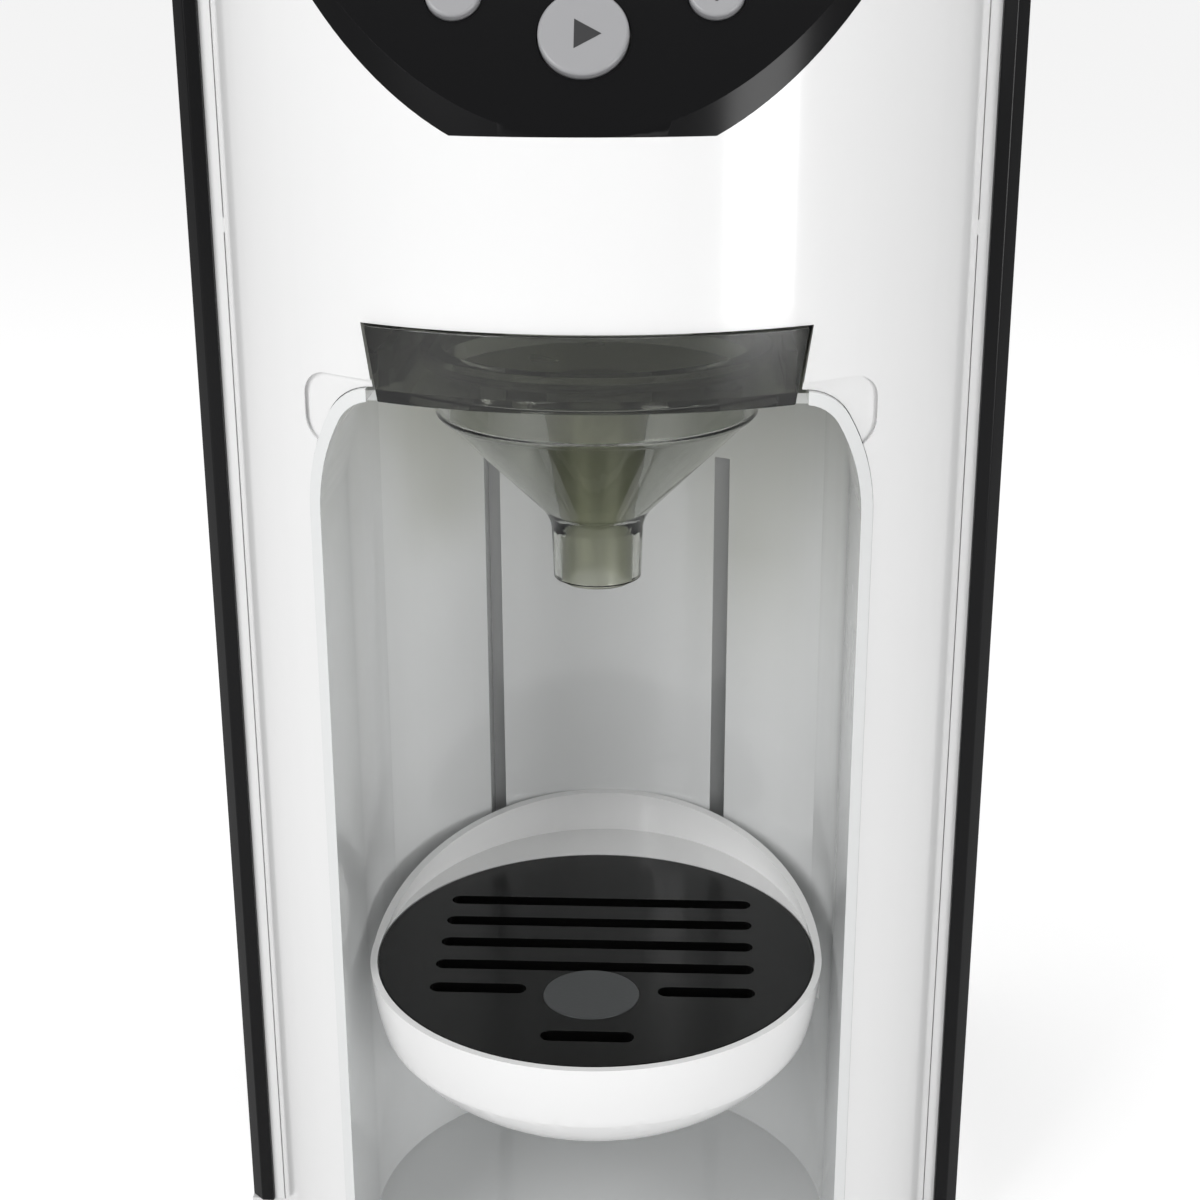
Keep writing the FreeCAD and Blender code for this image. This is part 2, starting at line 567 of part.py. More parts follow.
def bay_space(name, grow, low):
    """The bay's space, grown outwards: its plan under the arch."""
    arch = pad(name + "_arch", "XZ_Plane", [arch_loop(grow, low)], "2 * bay_half - fascia_front",
               "0", "bay_half")
    return common(name, bay_plan(name + "_plan", "bay_half + " + grow, low, ARCH_TOP + " + " + grow), arch)


GUIDE_Y = "(bay_axis + sqrt(bay_half ^ 2 - track_place ^ 2))"
liner_face = cylinder("liner_face", "fascia_radius + lip_proud", "deck_top", "0", ARC_Y, "0")
sole_face = cylinder("sole_face", "fascia_radius - fascia_wall - seam", "deck_top", "0", ARC_Y, "0")
liner_parts = [
    common("liner_solid", bay_space("liner_out", "bay_wall", "(bay_floor - bay_wall + seam)"), liner_face),
    common("liner_sole", bay_plan("sole_plan", "bay_half", BASE_TOP, "bay_floor - over"), sole_face),
]
liner_tools = [bay_space("liner_in", "0", "bay_floor")]
channels = []
for side, sign in SIDES:
    channels.append(box("channel_" + side, "track_width + 2 * bay_wall", "track_depth + bay_wall",
                        "track_top - track_low + 2 * bay_wall",
                        "%strack_place - track_width / 2 - bay_wall" % sign, GUIDE_Y,
                        "track_low - bay_wall"))
    liner_tools.append(box("track_" + side, "track_width", "2 * track_depth", "track_top - track_low",
                           "%strack_place - track_width / 2" % sign, GUIDE_Y + " - track_depth", "track_low"))
LEDGE_IN = "(funnel_radius + drawer_wall)"
LEDGE_OUT = "(drawer_half + 2 * drawer_wall)"
ledges = [box("ledge_" + side, "%s - %s" % (LEDGE_OUT, LEDGE_IN), "drawer_tail - ledge_front", "ledge",
              x, "ledge_front", ARCH_TOP + " - ledge")
          for side, x in (("left", "-" + LEDGE_OUT), ("right", LEDGE_IN))]
liner_tools.append(box("roof_gap", "2 * (drawer_half + play)", "drawer_tail - fascia_front + 3 * over",
                       "arch_drop", "-drawer_half - play", "fascia_front - 2 * over", ARCH_TOP + " - arch_shoulder"))
liner_shell = cut("liner_shell", fuse("liner_blank", *liner_parts, *channels), *liner_tools)
node(fuse("liner_fuse", liner_shell, *ledges), "bay_liner")

# White inner frame: side walls, back wall and the shelf that carries the powder system.
frame_parts = []
for side, x in (("left", "-" + FRAME_OUT), ("right", FRAME_IN)):
    frame_parts.append(box("frame_" + side, "frame_wall", "body_back - side_front",
                           "deck_top - deck_thick - " + BASE_TOP, x, "side_front", BASE_TOP))
frame_parts.append(box("frame_rear", "2 * " + FRAME_OUT, "frame_back", "deck_top - deck_thick - " + BASE_TOP,
                       "-" + FRAME_OUT, "body_back - frame_back", BASE_TOP))
frame_parts.append(box("frame_shelf", "2 * " + FRAME_OUT, "body_back - side_front", "shelf_thick",
                       "-" + FRAME_OUT, "side_front", SHELF_LOW))
OUTLET_Y = "(hopper_axis - outlet_place)"
frame_tools = [
    cylinder("shelf_shaft_hole", "rotor_shaft + 2 * gear_hub", "shelf_thick + 2 * over", "0", "hopper_axis",
             SHELF_LOW + " - over"),
    cylinder("shelf_outlet_hole", "outlet_radius + chute_wall + play", "shelf_thick + 2 * over", "0", OUTLET_Y,
             SHELF_LOW + " - over"),
    cylinder("hose_hole", "hose_radius + 2", "frame_back + 4 * over", "0", "body_back + 2 * over", "pump_height",
             (1, 0, 0)),
]
for i, (x, y) in enumerate(BASE_SCREWS):
    frame_parts.append(cylinder("frame_boss_%d" % i, "boss_radius", "boss_height", x, y, BASE_TOP))
    frame_tools.append(cylinder("frame_bore_%d" % i, "screw_shank", "screw_length", x, y, BASE_TOP + " - over"))
GEAR_OUT = "(gear_module * (gear_teeth / 2 + 1) + gearbox_air)"
MOTOR_Y = "(hopper_axis + gear_module * (gear_teeth + pinion_teeth) / 2)"
LUG_REACH = "(%s + gearbox_wall + screw_head + 2 * seam)" % GEAR_OUT
LUGS = [(LUG_REACH + " * cos(200)", "hopper_axis + %s * sin(200)" % LUG_REACH),
        (LUG_REACH + " * cos(340)", "hopper_axis + %s * sin(340)" % LUG_REACH),
        ("0", MOTOR_Y + " + motor_radius + gearbox_air + gearbox_wall + screw_head + 2 * seam")]
for i, (x, y) in enumerate(LUGS):
    frame_tools.append(cylinder("lug_thread_%d" % i, "screw_shank", "shelf_thick + 2 * over", x, y,
                                SHELF_LOW + " - over"))
node(cut("frame_cut", fuse("frame_blank", *frame_parts), *frame_tools), "inner_frame")

# Side panels: shallow trays with a bevel all round.
PANEL_TOP = "(deck_top + panel_rise)"
panel_blank = pad("panel_blank", "YZ_Plane", [[
    (PANEL_FRONT, "foot_rise + panel_toe", "panel_toe", "left"), (PANEL_FRONT + " + panel_toe", "foot_rise"),
    (PANEL_BACK + " - panel_toe", "foot_rise", "panel_toe", "left"), (PANEL_BACK, "foot_rise + panel_toe"),
    (PANEL_BACK, PANEL_TOP + " - panel_crown", "panel_crown", "left"), (PANEL_BACK + " - panel_crown", PANEL_TOP),
    (PANEL_FRONT + " + panel_shoulder", PANEL_TOP, "panel_shoulder", "left"),
    (PANEL_FRONT, PANEL_TOP + " - panel_shoulder")]],
    "panel_thick", FRAME_OUT)
doc.recompute()


def outer_rim(edge):
    bounds = edge.BoundBox
    return abs(bounds.XMin - val("half_width")) < 1e-4 and abs(bounds.XMax - val("half_width")) < 1e-4


bevel = doc.addObject("Part::Chamfer", "panel_bevel")
bevel.Base = panel_blank
bevel.Edges = [(i, val("panel_chamfer"), val("panel_chamfer"))
               for i, e in enumerate(panel_blank.Shape.Edges, start=1) if outer_rim(e)]
panel_hollow = box("panel_hollow", "panel_thick - panel_skin", "body_back - side_front - 2 * panel_rim + panel_toe",
                   "deck_top - panel_shoulder - foot_rise - 2 * panel_rim", FRAME_OUT, "side_front + panel_rim",
                   "foot_rise + base_thick + panel_rim")
base_notch = box("base_notch", "panel_thick + 2 * over", "overall_back - fascia_front", "base_thick + over",
                 FRAME_OUT, "fascia_front", "foot_rise - over")
right_panel = cut("right_panel_cut", bevel, panel_hollow, base_notch)
node(right_panel, "right_side_panel")
node(mirrored("left_panel_mirror", right_panel), "left_side_panel")

# Top deck with the hole for the powder container.
deck_blank = box("deck_blank", "2 * " + FRAME_OUT, "body_back - side_front", "deck_thick",
                 "-" + FRAME_OUT, "side_front", "deck_top - deck_thick")
deck_front = front_arc("deck_front", "fascia_radius", "deck_top - deck_thick", "deck_top")
deck_hole = cylinder("deck_hole", "hopper_radius + 1", "deck_thick + 2 * over", "0", "hopper_axis",
                     "deck_top - deck_thick - over")
node(cut("deck_cut", fuse("deck_fused", deck_blank, deck_front), deck_hole,
         head_wedge("deck_wedge", "-console_thick")), "top_deck")

# Control plate: a slab on the sloping head, with holes for the window and the buttons.
SLOPE = FreeCAD.Rotation(FreeCAD.Vector(1, 0, 0), val("head_slope"))


def on_slope(obj, x, along, out):
    """Put an object on the sloping head: across, up the slope and out along its normal."""
    obj.Placement.Rotation = SLOPE
    return place(obj, x,
                 "fascia_front + (%s) * cos(head_slope) - (%s) * sin(head_slope)" % (along, out),
                 "head_low + (%s) * sin(head_slope) + (%s) * cos(head_slope)" % (along, out))


console_slab = on_slope(pad("console_slab", "XY_Plane", [[
    ("-half_width", "-console_thick"), ("half_width", "-console_thick"), ("half_width", "2 * head_rise"),
    ("-half_width", "2 * head_rise")]], "console_thick"), "0", "0", "-console_thick")
console_plan = front_arc("console_plan", "fascia_radius", "head_low", "deck_top")
BUTTONS = [
    ("start_button", "0", "19", "start_radius"),
    ("size_down_button", "-23", "27", "button_radius"),
    ("size_up_button", "23", "27", "button_radius"),
    ("temperature_button", "-38", "42", "button_radius"),
    ("water_only_button", "38", "42", "button_radius"),
    ("power_button", "-42", "60", "button_radius"),
]
POSTS = (("-30", "63.5"), ("30", "63.5"), ("-12", "33"), ("12", "33"))
console_tools = [on_slope(box("window_hole", "2 * window_half", "window_tall", "console_thick + 2 * over"),
                          "-window_half", "window_along - window_tall / 2", "-console_thick - over")]
for name, x, along, radius in BUTTONS:
    console_tools.append(on_slope(cylinder(name + "_hole", radius + " + play", "console_thick + 2 * over"),
                                  x, along, "-console_thick - over"))
console_posts = [on_slope(cylinder("console_post_%d" % i, "post_radius", "board_drop + seam"), x, along,
                          "-console_thick - board_drop")
                 for i, (x, along) in enumerate(POSTS)]
node(fuse("console_fuse", cut("console_cut", common("console_blank", console_slab, console_plan), *console_tools),
          *console_posts), "control_plate")
node(on_slope(box("window_plate", "2 * (window_half - play)", "window_tall - 2 * play", "window_thick"),
              "play - window_half", "window_along - window_tall / 2 + play", "-window_thick"), "display_window")
node(on_slope(box("display_block", "2 * (window_half - window_thick)", "window_tall - window_thick",
                  "display_thick"), "window_thick - window_half",
              "window_along - window_tall / 2 + window_thick / 2", "-window_thick - display_thick - 0.2"),
     "display_module")
CAP_TOP = "(console_thick + button_proud)"
for name, x, along, radius in BUTTONS:
    cap = turned(name + "_body", [[
        ("0", "-button_stem"), (radius + " * 0.3", "-button_stem"), (radius + " * 0.3", "-button_flange - seam"),
        (radius + " + button_flange", "-button_flange - seam"), (radius + " + button_flange", "0"), (radius, "0"),
        (radius, CAP_TOP + " - button_round", "button_round", "left"), (radius + " - button_round", CAP_TOP),
        ("0", CAP_TOP)]])
    node(on_slope(cap, x, along, "-console_thick"), name)
BOARD_OUT = "(-console_thick - board_drop - board_thick)"
board_parts = [on_slope(pad("console_board_pad", "XY_Plane", [[
    ("-14", "-30"), ("14", "-30"), ("30", "-18"), ("46", "-2"), ("48", "26"), ("-48", "26"),
    ("-46", "-2"), ("-30", "-18")]], "board_thick"), "0", "40", BOARD_OUT)]
for name, x, along, radius in BUTTONS:
    board_parts.append(on_slope(box(name + "_switch", "6", "6", "2.3"), x + " - 3", along + " - 3",
                                "-console_thick - board_drop - seam"))
node(fuse("console_board_fuse", *board_parts), "console_board")

# Funnel drawer: a curved front, a plate with a hole for the funnel and two side rails.
drawer_front_block = pad("drawer_front_block", "XZ_Plane", [[
    ("-drawer_half_low", "drawer_low"), ("drawer_half_low", "drawer_low"), ("drawer_half", "drawer_high"),
    ("-drawer_half", "drawer_high")]], FRONT_DEEP + " + drawer_proud", "0", "side_front")
drawer_face = cylinder("drawer_face", "fascia_radius + drawer_proud", "4 * arch_drop", "0", ARC_Y,
                       "drawer_low - arch_drop")
drawer_back = cylinder("drawer_back", "fascia_radius + drawer_proud - drawer_wall", "4 * arch_drop", "0", ARC_Y,
                       "drawer_low - arch_drop")
drawer_front = cut("drawer_front", common("drawer_front_raw", drawer_front_block, drawer_face), drawer_back)
drawer_plate = common("drawer_plate", box("drawer_plate_block", "2 * drawer_half_low",
                                          "drawer_tail - fascia_front + 2 * over", "drawer_wall", "-drawer_half_low",
                                          "fascia_front - 2 * over", "drawer_low"),
                      cylinder("drawer_plate_face", "fascia_radius + drawer_proud - over", "arch_drop", "0", ARC_Y,
                               "drawer_low - over"))
drawer_sides = [box("drawer_side_" + side, "drawer_wall", "drawer_tail - drawer_start", "drawer_side", x,
                    "drawer_start", "drawer_low")
                for side, x in (("left", "-drawer_half_low"), ("right", "drawer_half_low - drawer_wall"))]
drawer_ring_hole = cylinder("drawer_ring_hole", "funnel_radius + play", "drawer_wall + 2 * over", "0", "spout_axis",
                            "drawer_low - over")
node(cut("drawer_cut", fuse("drawer_fused", drawer_front, drawer_plate, *drawer_sides), drawer_ring_hole),
     "funnel_drawer")

# Funnel: ring, cone and spout in one wall, with a flange on the drawer's plate and a step inside
# that carries the nozzle.
FLANGE_Z = "(drawer_low + drawer_wall)"
FLANGE_TOP = "(drawer_low + drawer_wall + funnel_wall)"
RING_IN = "(funnel_radius - funnel_wall)"
NECK_IN = "(neck_radius - funnel_wall)"
STEP_IN = "(funnel_radius - funnel_wall - seat_step)"
STEP_Z = "(ring_low + ring_step)"
node(turned("funnel_body", [[
    ("funnel_radius + funnel_flange", FLANGE_Z), ("funnel_radius + funnel_flange", FLANGE_TOP),
    (RING_IN, FLANGE_TOP), (RING_IN, STEP_Z), (STEP_IN, STEP_Z), (STEP_IN, "ring_low + over"),
    (NECK_IN + " + neck_flare / 2", "neck_top + neck_flare - seat_step", "2 * neck_flare", "left"),
    (NECK_IN, "neck_top - seat_step"), (NECK_IN + " - spout_taper", "spout_low"),
    ("neck_radius - spout_taper", "spout_low"), ("neck_radius", "neck_top", "2 * neck_flare", "right"),
    ("neck_radius + neck_flare / 2", "neck_top + neck_flare"), ("funnel_radius - funnel_wall", "ring_low - over / 2",
     "2 * funnel_wall", "left"), ("funnel_radius", "ring_low + over"), ("funnel_radius", FLANGE_Z)]],
    "0", "spout_axis"), "funnel")
node(turned("nozzle_body", [[
    ("tube_radius", "tube_low"), ("tube_radius", "neck_top + over"), ("bell_radius", "ring_low - over"),
    ("bell_mouth", "ring_low + ring_step - 2 * over"), (STEP_IN + " - over", STEP_Z), (RING_IN + " - play", STEP_Z),
    (RING_IN + " - play", STEP_Z + " + tube_wall"), (STEP_IN + " - 2 * over", STEP_Z + " + tube_wall"),
    ("bell_mouth - tube_wall", "ring_low + ring_step - over / 2"),
    ("bell_radius - tube_wall", "ring_low - over / 2"), ("tube_radius - tube_wall", "neck_top + over"),
    ("tube_radius - tube_wall", "tube_low")]], "0", "spout_axis"), "funnel_nozzle")

# Bottle stand: a round bowl, a flat shelf behind the grille and a collar that rises to the back.
RIM = "(grille_radius + play + rim_wall)"
BELLY = "(grille_radius + play + rim_wall - rim_seat)"
bowl = turned("bowl", [[
    ("0", "-stand_depth"), ("bowl_flat", "-stand_depth", "bowl_curve_low", "left"),
    (BELLY, "-bowl_belly", "bowl_curve_high", "left"), (RIM, "0"), ("grille_radius + play", "0"),
    ("grille_radius + play", "-grille_thick"), ("grille_radius - rim_seat", "-grille_thick"),
    ("grille_radius - rim_seat", "-grille_thick - rim_wall"),
    (BELLY + " - stand_wall", "-bowl_belly", "bowl_curve_high", "right"),
    ("bowl_flat", "stand_wall - stand_depth"), ("0", "stand_wall - stand_depth")]], "0", "stand_axis", "stand_top")


def stand_ellipse(name, wall, low, high):
    """The elliptical plan of the stand's back half."""
    disc = doc.addObject("Part::Ellipse", name + "_line")
    bind(disc, "MajorRadius", "stand_reach - (%s)" % wall)
    bind(disc, "MinorRadius", RIM + " - (%s)" % wall)
    disc.Placement.Rotation = FreeCAD.Rotation(FreeCAD.Vector(0, 0, 1), 90)
    place(disc, "0", "stand_axis", low)
    grown = doc.addObject("Part::Extrusion", name)
    grown.Base = disc
    grown.DirMode = "Custom"
    grown.Dir = FreeCAD.Vector(0, 0, 1)
    bind(grown, "LengthFwd", "(%s) - (%s)" % (high, low))
    grown.Solid = True
    return grown


collar_out = stand_ellipse("collar_out", "0", "stand_top - collar_deep", "stand_top + collar_rise + over")
collar_in = stand_ellipse("collar_in", "stand_wall", "stand_top", "stand_top + collar_rise + 2 * over")
collar_low = stand_ellipse("collar_low", "stand_wall", "stand_top - collar_deep - over", "stand_top - stand_wall")
COLLAR_AHEAD = "(stand_axis - 2 * stand_reach)"
collar_slope = pad("collar_slope", "YZ_Plane", [[
    (COLLAR_AHEAD, "stand_top"), ("stand_axis + 2 * over", "stand_top"),
    ("stand_axis + stand_reach", "stand_top + collar_rise"),
    ("stand_axis + stand_reach", "stand_top + 3 * collar_rise"), (COLLAR_AHEAD, "stand_top + 3 * collar_rise")]],
    "2 * half_width", "-half_width")
collar_front = box("collar_front", "2 * half_width", "2 * (stand_reach + over)", "6 * collar_rise", "-half_width",
                   COLLAR_AHEAD, "stand_top - stand_depth")
grille_space = cylinder("grille_space", "grille_radius + play", "2 * stand_depth", "0", "stand_axis",
                        "stand_top - stand_depth")
collar = cut("collar", collar_out, collar_in, collar_low, collar_slope, collar_front, grille_space)
HOOK_Y = "(stand_axis + stand_reach * sqrt(1 - track_place ^ 2 / %s ^ 2) - rim_wall)" % RIM
hooks = [box("hook_" + side, "track_width - 2 * play", "hook_length", "hook_height",
             "%strack_place - track_width / 2 + play" % sign, HOOK_Y, "stand_top - hook_height")
         for side, sign in SIDES]
node(fuse("stand_fuse", bowl, collar, *hooks), "bottle_stand")

# Drip grille: four full rows of slots, a row split round the finger pad and a short front slot.
grille_blank = cylinder("grille_blank", "grille_radius", "grille_thick", "0", "stand_axis",
                        "stand_top - grille_thick")
SLOT_Z = "(stand_top - grille_thick - over)"
SLOT_DEEP = "(grille_thick + 2 * over)"


def drip_slot(name, start, stop, y):
    """A round-ended slot of the grille from start to stop across, at y from the grille's centre."""
    bar = box(name + "_bar", "(%s) - (%s) - slot_width" % (stop, start), "slot_width", SLOT_DEEP,
              "%s + slot_width / 2" % start, "stand_axis + %s - slot_width / 2" % y, SLOT_Z)
    ends = [cylinder(name + "_start", "slot_width / 2", SLOT_DEEP, "%s + slot_width / 2" % start,
                     "stand_axis + " + y, SLOT_Z),
            cylinder(name + "_stop", "slot_width / 2", SLOT_DEEP, "%s - slot_width / 2" % stop,
                     "stand_axis + " + y, SLOT_Z)]
    return fuse(name, bar, *ends)


slots = [drip_slot("slot_row_%d" % row, "-slot_end", "slot_end", "(slot_first - %d * slot_pitch)" % row)
         for row in range(4)]
slots.append(drip_slot("slot_side_left", "-slot_end", "-slot_inner", "(slot_first - 4 * slot_pitch)"))
slots.append(drip_slot("slot_side_right", "slot_inner", "slot_end", "(slot_first - 4 * slot_pitch)"))
slots.append(drip_slot("slot_front", "-slot_short", "slot_short", "(slot_first - 5.85 * slot_pitch)"))
pad_seat = cylinder("pad_seat", "pad_radius", "pad_sink + over", "0", "stand_axis + pad_place",
                    "stand_top - pad_sink")
node(cut("grille_cut", grille_blank, pad_seat, *slots), "drip_grille")
node(cylinder("pad_disc", "pad_radius", "pad_sink + pad_proud", "0", "stand_axis + pad_place",
              "stand_top - pad_sink"), "grille_pad")

# Powder container with its outlet, and the chute that leads the powder through the shelf.
HOPPER_TOP = "(deck_top - hopper_drop)"
HOPPER_IN = "(hopper_radius - hopper_wall)"
hopper_shell = turned("hopper_shell", [[
    ("rotor_shaft + fit", "shelf_top"), ("hopper_radius - hopper_round", "shelf_top"),
    ("hopper_radius", "shelf_top + hopper_round"), ("hopper_radius", HOPPER_TOP), (HOPPER_IN, HOPPER_TOP),
    (HOPPER_IN, "shelf_top + hopper_floor"), ("rotor_shaft + fit", "shelf_top + hopper_floor")]],
    "0", "hopper_axis")
outlet_hole = cylinder("outlet_hole", "outlet_radius", "hopper_floor + 2 * over", "0", OUTLET_Y, "shelf_top - over")
node(cut("hopper_cut", hopper_shell, outlet_hole), "powder_container")
chute_outer = cylinder("chute_outer", "outlet_radius + chute_wall", "shelf_thick + chute_drop", "0", OUTLET_Y,
                       SHELF_LOW + " - chute_drop")
chute_flange = cylinder("chute_flange_ring", "outlet_radius + 2 * chute_wall", "chute_flange", "0", OUTLET_Y,
                        SHELF_LOW + " - chute_flange")
chute_bore = cylinder("chute_bore", "outlet_radius", "shelf_thick + 2 * chute_drop", "0", OUTLET_Y,
                      SHELF_LOW + " - chute_drop - over")
node(cut("chute_cut", fuse("chute_blank", chute_outer, chute_flange), chute_bore), "powder_chute")

# Dosing wheel: a ring of open cells that carry the powder to the outlet, and the paddle over it.
WHEEL_LOW = "(shelf_top + hopper_floor + play)"
WHEEL_OUT = "(hopper_radius - hopper_wall - wheel_gap)"
WHEEL_IN = "(hopper_radius - hopper_wall - wheel_gap - wheel_rim)"
wheel_hub = cylinder("wheel_hub_body", "wheel_hub", "hub_height", "0", "hopper_axis", WHEEL_LOW)
wheel_bore = cylinder("wheel_bore", "rotor_shaft", "2 * hub_height", "0", "hopper_axis", "shelf_top")
wheel_ring = turned("wheel_ring", [[(WHEEL_IN, "0"), (WHEEL_OUT, "0"), (WHEEL_OUT, "wheel_height"),
                                    (WHEEL_IN, "wheel_height")]], "0", "hopper_axis", WHEEL_LOW)
fins = []
for i in range(int(val("fin_count"))):
    turn = 360 * i / val("fin_count")
    fin = box("fin_%d" % i, WHEEL_IN + " - wheel_hub + 2 * over", "fin_thick", "wheel_height")
    fin.Placement.Rotation = FreeCAD.Rotation(FreeCAD.Vector(0, 0, 1), turn)
    place(fin, "(wheel_hub - over) * cos(%f) + fin_thick / 2 * sin(%f)" % (turn, turn),
          "hopper_axis + (wheel_hub - over) * sin(%f) - fin_thick / 2 * cos(%f)" % (turn, turn), WHEEL_LOW)
    fins.append(fin)
node(cut("wheel_cut", fuse("wheel_blank", wheel_hub, wheel_ring, *fins), wheel_bore), "dosing_wheel")
PADDLE_Z = "(%s + hub_height + play)" % WHEEL_LOW
PADDLE_X = "(hopper_radius - hopper_wall - paddle_gap)"
paddle_hub = cylinder("paddle_hub_body", "paddle_hub", "paddle_hub_height", "0", "hopper_axis", PADDLE_Z)
paddle_arm = box("paddle_arm_bar", "2 * " + PADDLE_X, "paddle_bar", "paddle_arm", "-" + PADDLE_X,
                 "hopper_axis - paddle_bar / 2", PADDLE_Z + " + over")
paddle_posts = [
    box("paddle_post_tall", "paddle_bar", "paddle_bar", "paddle_tall", "-" + PADDLE_X,
        "hopper_axis - paddle_bar / 2", PADDLE_Z + " + over"),
    box("paddle_post_short", "paddle_bar", "paddle_bar", "paddle_short", PADDLE_X + " - paddle_bar",
        "hopper_axis - paddle_bar / 2", PADDLE_Z + " + over"),
]
node(cut("paddle_cut", fuse("paddle_blank", paddle_hub, paddle_arm, *paddle_posts),
         cylinder("paddle_bore", "rotor_shaft", "4 * hub_height", "0", "hopper_axis", "shelf_top")), "stirring_paddle")
node(cylinder("shaft_body", "rotor_shaft", PADDLE_Z + " + paddle_hub_height - gear_low", "0", "hopper_axis",
              "gear_low"), "rotor_shaft")

# Powder lid: a shallow dome with a brim over the deck and a seal in the container's rim.
LID_TOP = "(deck_top + lid_rise)"
node(turned("powder_lid_body", [[
    ("0", LID_TOP + " - lid_skin"), ("lid_flat", LID_TOP + " - lid_skin", "lid_curve + 2 * over", "right"),
    ("hopper_radius + lid_brim - lid_skin", "deck_top + lid_skin + play"),
    ("hopper_radius + lid_brim - lid_skin", "deck_top + play"), ("hopper_radius + lid_brim", "deck_top + play"),
    ("hopper_radius + lid_brim", "deck_top + lid_brim", "lid_curve", "left"), ("lid_flat", LID_TOP),
    ("0", LID_TOP)]], "0", "hopper_axis"), "powder_lid")
SEAL_OUT = "(hopper_radius - 2 * seam)"
node(turned("lid_seal_body", [[
    (SEAL_OUT + " - seal_width", HOPPER_TOP), (SEAL_OUT, HOPPER_TOP), (SEAL_OUT, "deck_top + lid_skin - seam"),
    (SEAL_OUT + " - seal_width", "deck_top + lid_skin - seam")]], "0", "hopper_axis"), "lid_seal")


# Powder drive: an involute pinion on the motor turns the large gear under the container.
def involute_gear(name, teeth, bore, turn):
    """A spur gear whose flanks follow the involute of its base circle."""
    module = val("gear_module")
    pitch = teeth * module / 2
    base = pitch * math.cos(math.radians(20))
    tip = pitch + module
    root = pitch - 1.2 * module
    spread = math.tan(math.radians(20)) - math.radians(20)
    half = math.pi / (2 * teeth) - val("gear_backlash") / (2 * pitch)
    points = []
    for k in range(teeth):
        middle = 2 * math.pi * k / teeth + turn
        flank = []
        for step in range(4):
            radius = max(base, root) + (tip - max(base, root)) * step / 3
            roll = math.acos(base / radius)
            flank.append((radius, half + spread - (math.tan(roll) - roll)))
        ring = [(root, -half - spread - 0.02)]
        ring += [(radius, -angle) for radius, angle in flank]
        ring += [(radius, angle) for radius, angle in reversed(flank)]
        ring += [(root, half + spread + 0.02)]
        for radius, angle in ring:
            points.append(FreeCAD.Vector(radius * math.cos(middle + angle), radius * math.sin(middle + angle), 0))
    wire = Part.makePolygon(points + [points[0]])
    width = val("gear_width")
    solid = Part.Face(wire).extrude(FreeCAD.Vector(0, 0, width))
    hole = Part.makeCylinder(bore, width + 2, FreeCAD.Vector(0, 0, -1))
    made = doc.addObject("Part::Feature", name)
    made.Shape = solid.cut(hole)
    return made


HUB_OUT = "(rotor_shaft + gear_hub)"
big_gear = involute_gear("big_gear", int(val("gear_teeth")), val(HUB_OUT), math.pi / 2)
place(big_gear, "0", "hopper_axis", "gear_low")
gear_hub = turned("gear_hub_body", [[
    ("rotor_shaft + fit", "gear_low - hub_drop"), (HUB_OUT, "gear_low - hub_drop"),
    (HUB_OUT, "gear_low + gear_width + hub_rise"), ("rotor_shaft + fit", "gear_low + gear_width + hub_rise")]],
    "0", "hopper_axis")
node(fuse("drive_gear_fuse", big_gear, gear_hub), "drive_gear")
pinion = involute_gear("pinion_body", int(val("pinion_teeth")), val("motor_shaft"),
                       -math.pi / 2 + math.pi / val("pinion_teeth"))
place(pinion, "0", MOTOR_Y, "gear_low")
node(pinion, "motor_pinion")
TRAY_LOW = "(gear_low - 2 * gearbox_wall)"
node(turned("motor_can", [[
    ("0", TRAY_LOW + " - motor_length"), ("motor_radius - gearbox_air", TRAY_LOW + " - motor_length"),
    ("motor_radius", TRAY_LOW + " - motor_length + gearbox_air"), ("motor_radius", TRAY_LOW),
    ("motor_collar", TRAY_LOW), ("motor_collar", TRAY_LOW + " + gearbox_air"), ("0", TRAY_LOW + " + gearbox_air")]],
    "0", MOTOR_Y), "drive_motor")
node(cylinder("motor_shaft_body", "motor_shaft", "gear_width + 2 * gearbox_wall", "0", MOTOR_Y,
              TRAY_LOW + " + gearbox_air"), "motor_shaft")

# Gearbox: a tray under the shelf that carries the motor and the large gear's hub, on three lugs.
TRAY_HIGH = "(%s - %s)" % (SHELF_LOW, TRAY_LOW)
gearbox_parts = [cylinder("gearbox_big", GEAR_OUT + " + gearbox_wall", TRAY_HIGH, "0", "hopper_axis", TRAY_LOW),
                 cylinder("gearbox_small", "motor_radius + gearbox_air + gearbox_wall", TRAY_HIGH, "0", MOTOR_Y,
                          TRAY_LOW)]
gearbox_tools = [cylinder("gearbox_big_in", GEAR_OUT, TRAY_HIGH, "0", "hopper_axis", TRAY_LOW + " + gearbox_wall"),
                 cylinder("gearbox_small_in", "motor_radius + gearbox_air", TRAY_HIGH, "0", MOTOR_Y,
                          TRAY_LOW + " + gearbox_wall"),
                 cylinder("gearbox_bore", HUB_OUT + " + fit", "gearbox_wall + 2 * over", "0", "hopper_axis",
                          TRAY_LOW + " - over"),
                 cylinder("motor_bore", "motor_collar", "gearbox_wall + 2 * over", "0", MOTOR_Y, TRAY_LOW + " - over")]
lug_parts = []
for i, (x, y) in enumerate(LUGS):
    lug_parts.append(cylinder("lug_%d" % i, "boss_radius", "lug_height", x, y, SHELF_LOW + " - lug_height"))
    gearbox_tools.append(cylinder("lug_bore_%d" % i, "screw_shank + fit", "lug_height + 2 * over", x, y,
                                  SHELF_LOW + " - lug_height - over"))
node(cut("gearbox_cut", fuse("gearbox_blank", *gearbox_parts, *lug_parts), *gearbox_tools), "gearbox_tray")

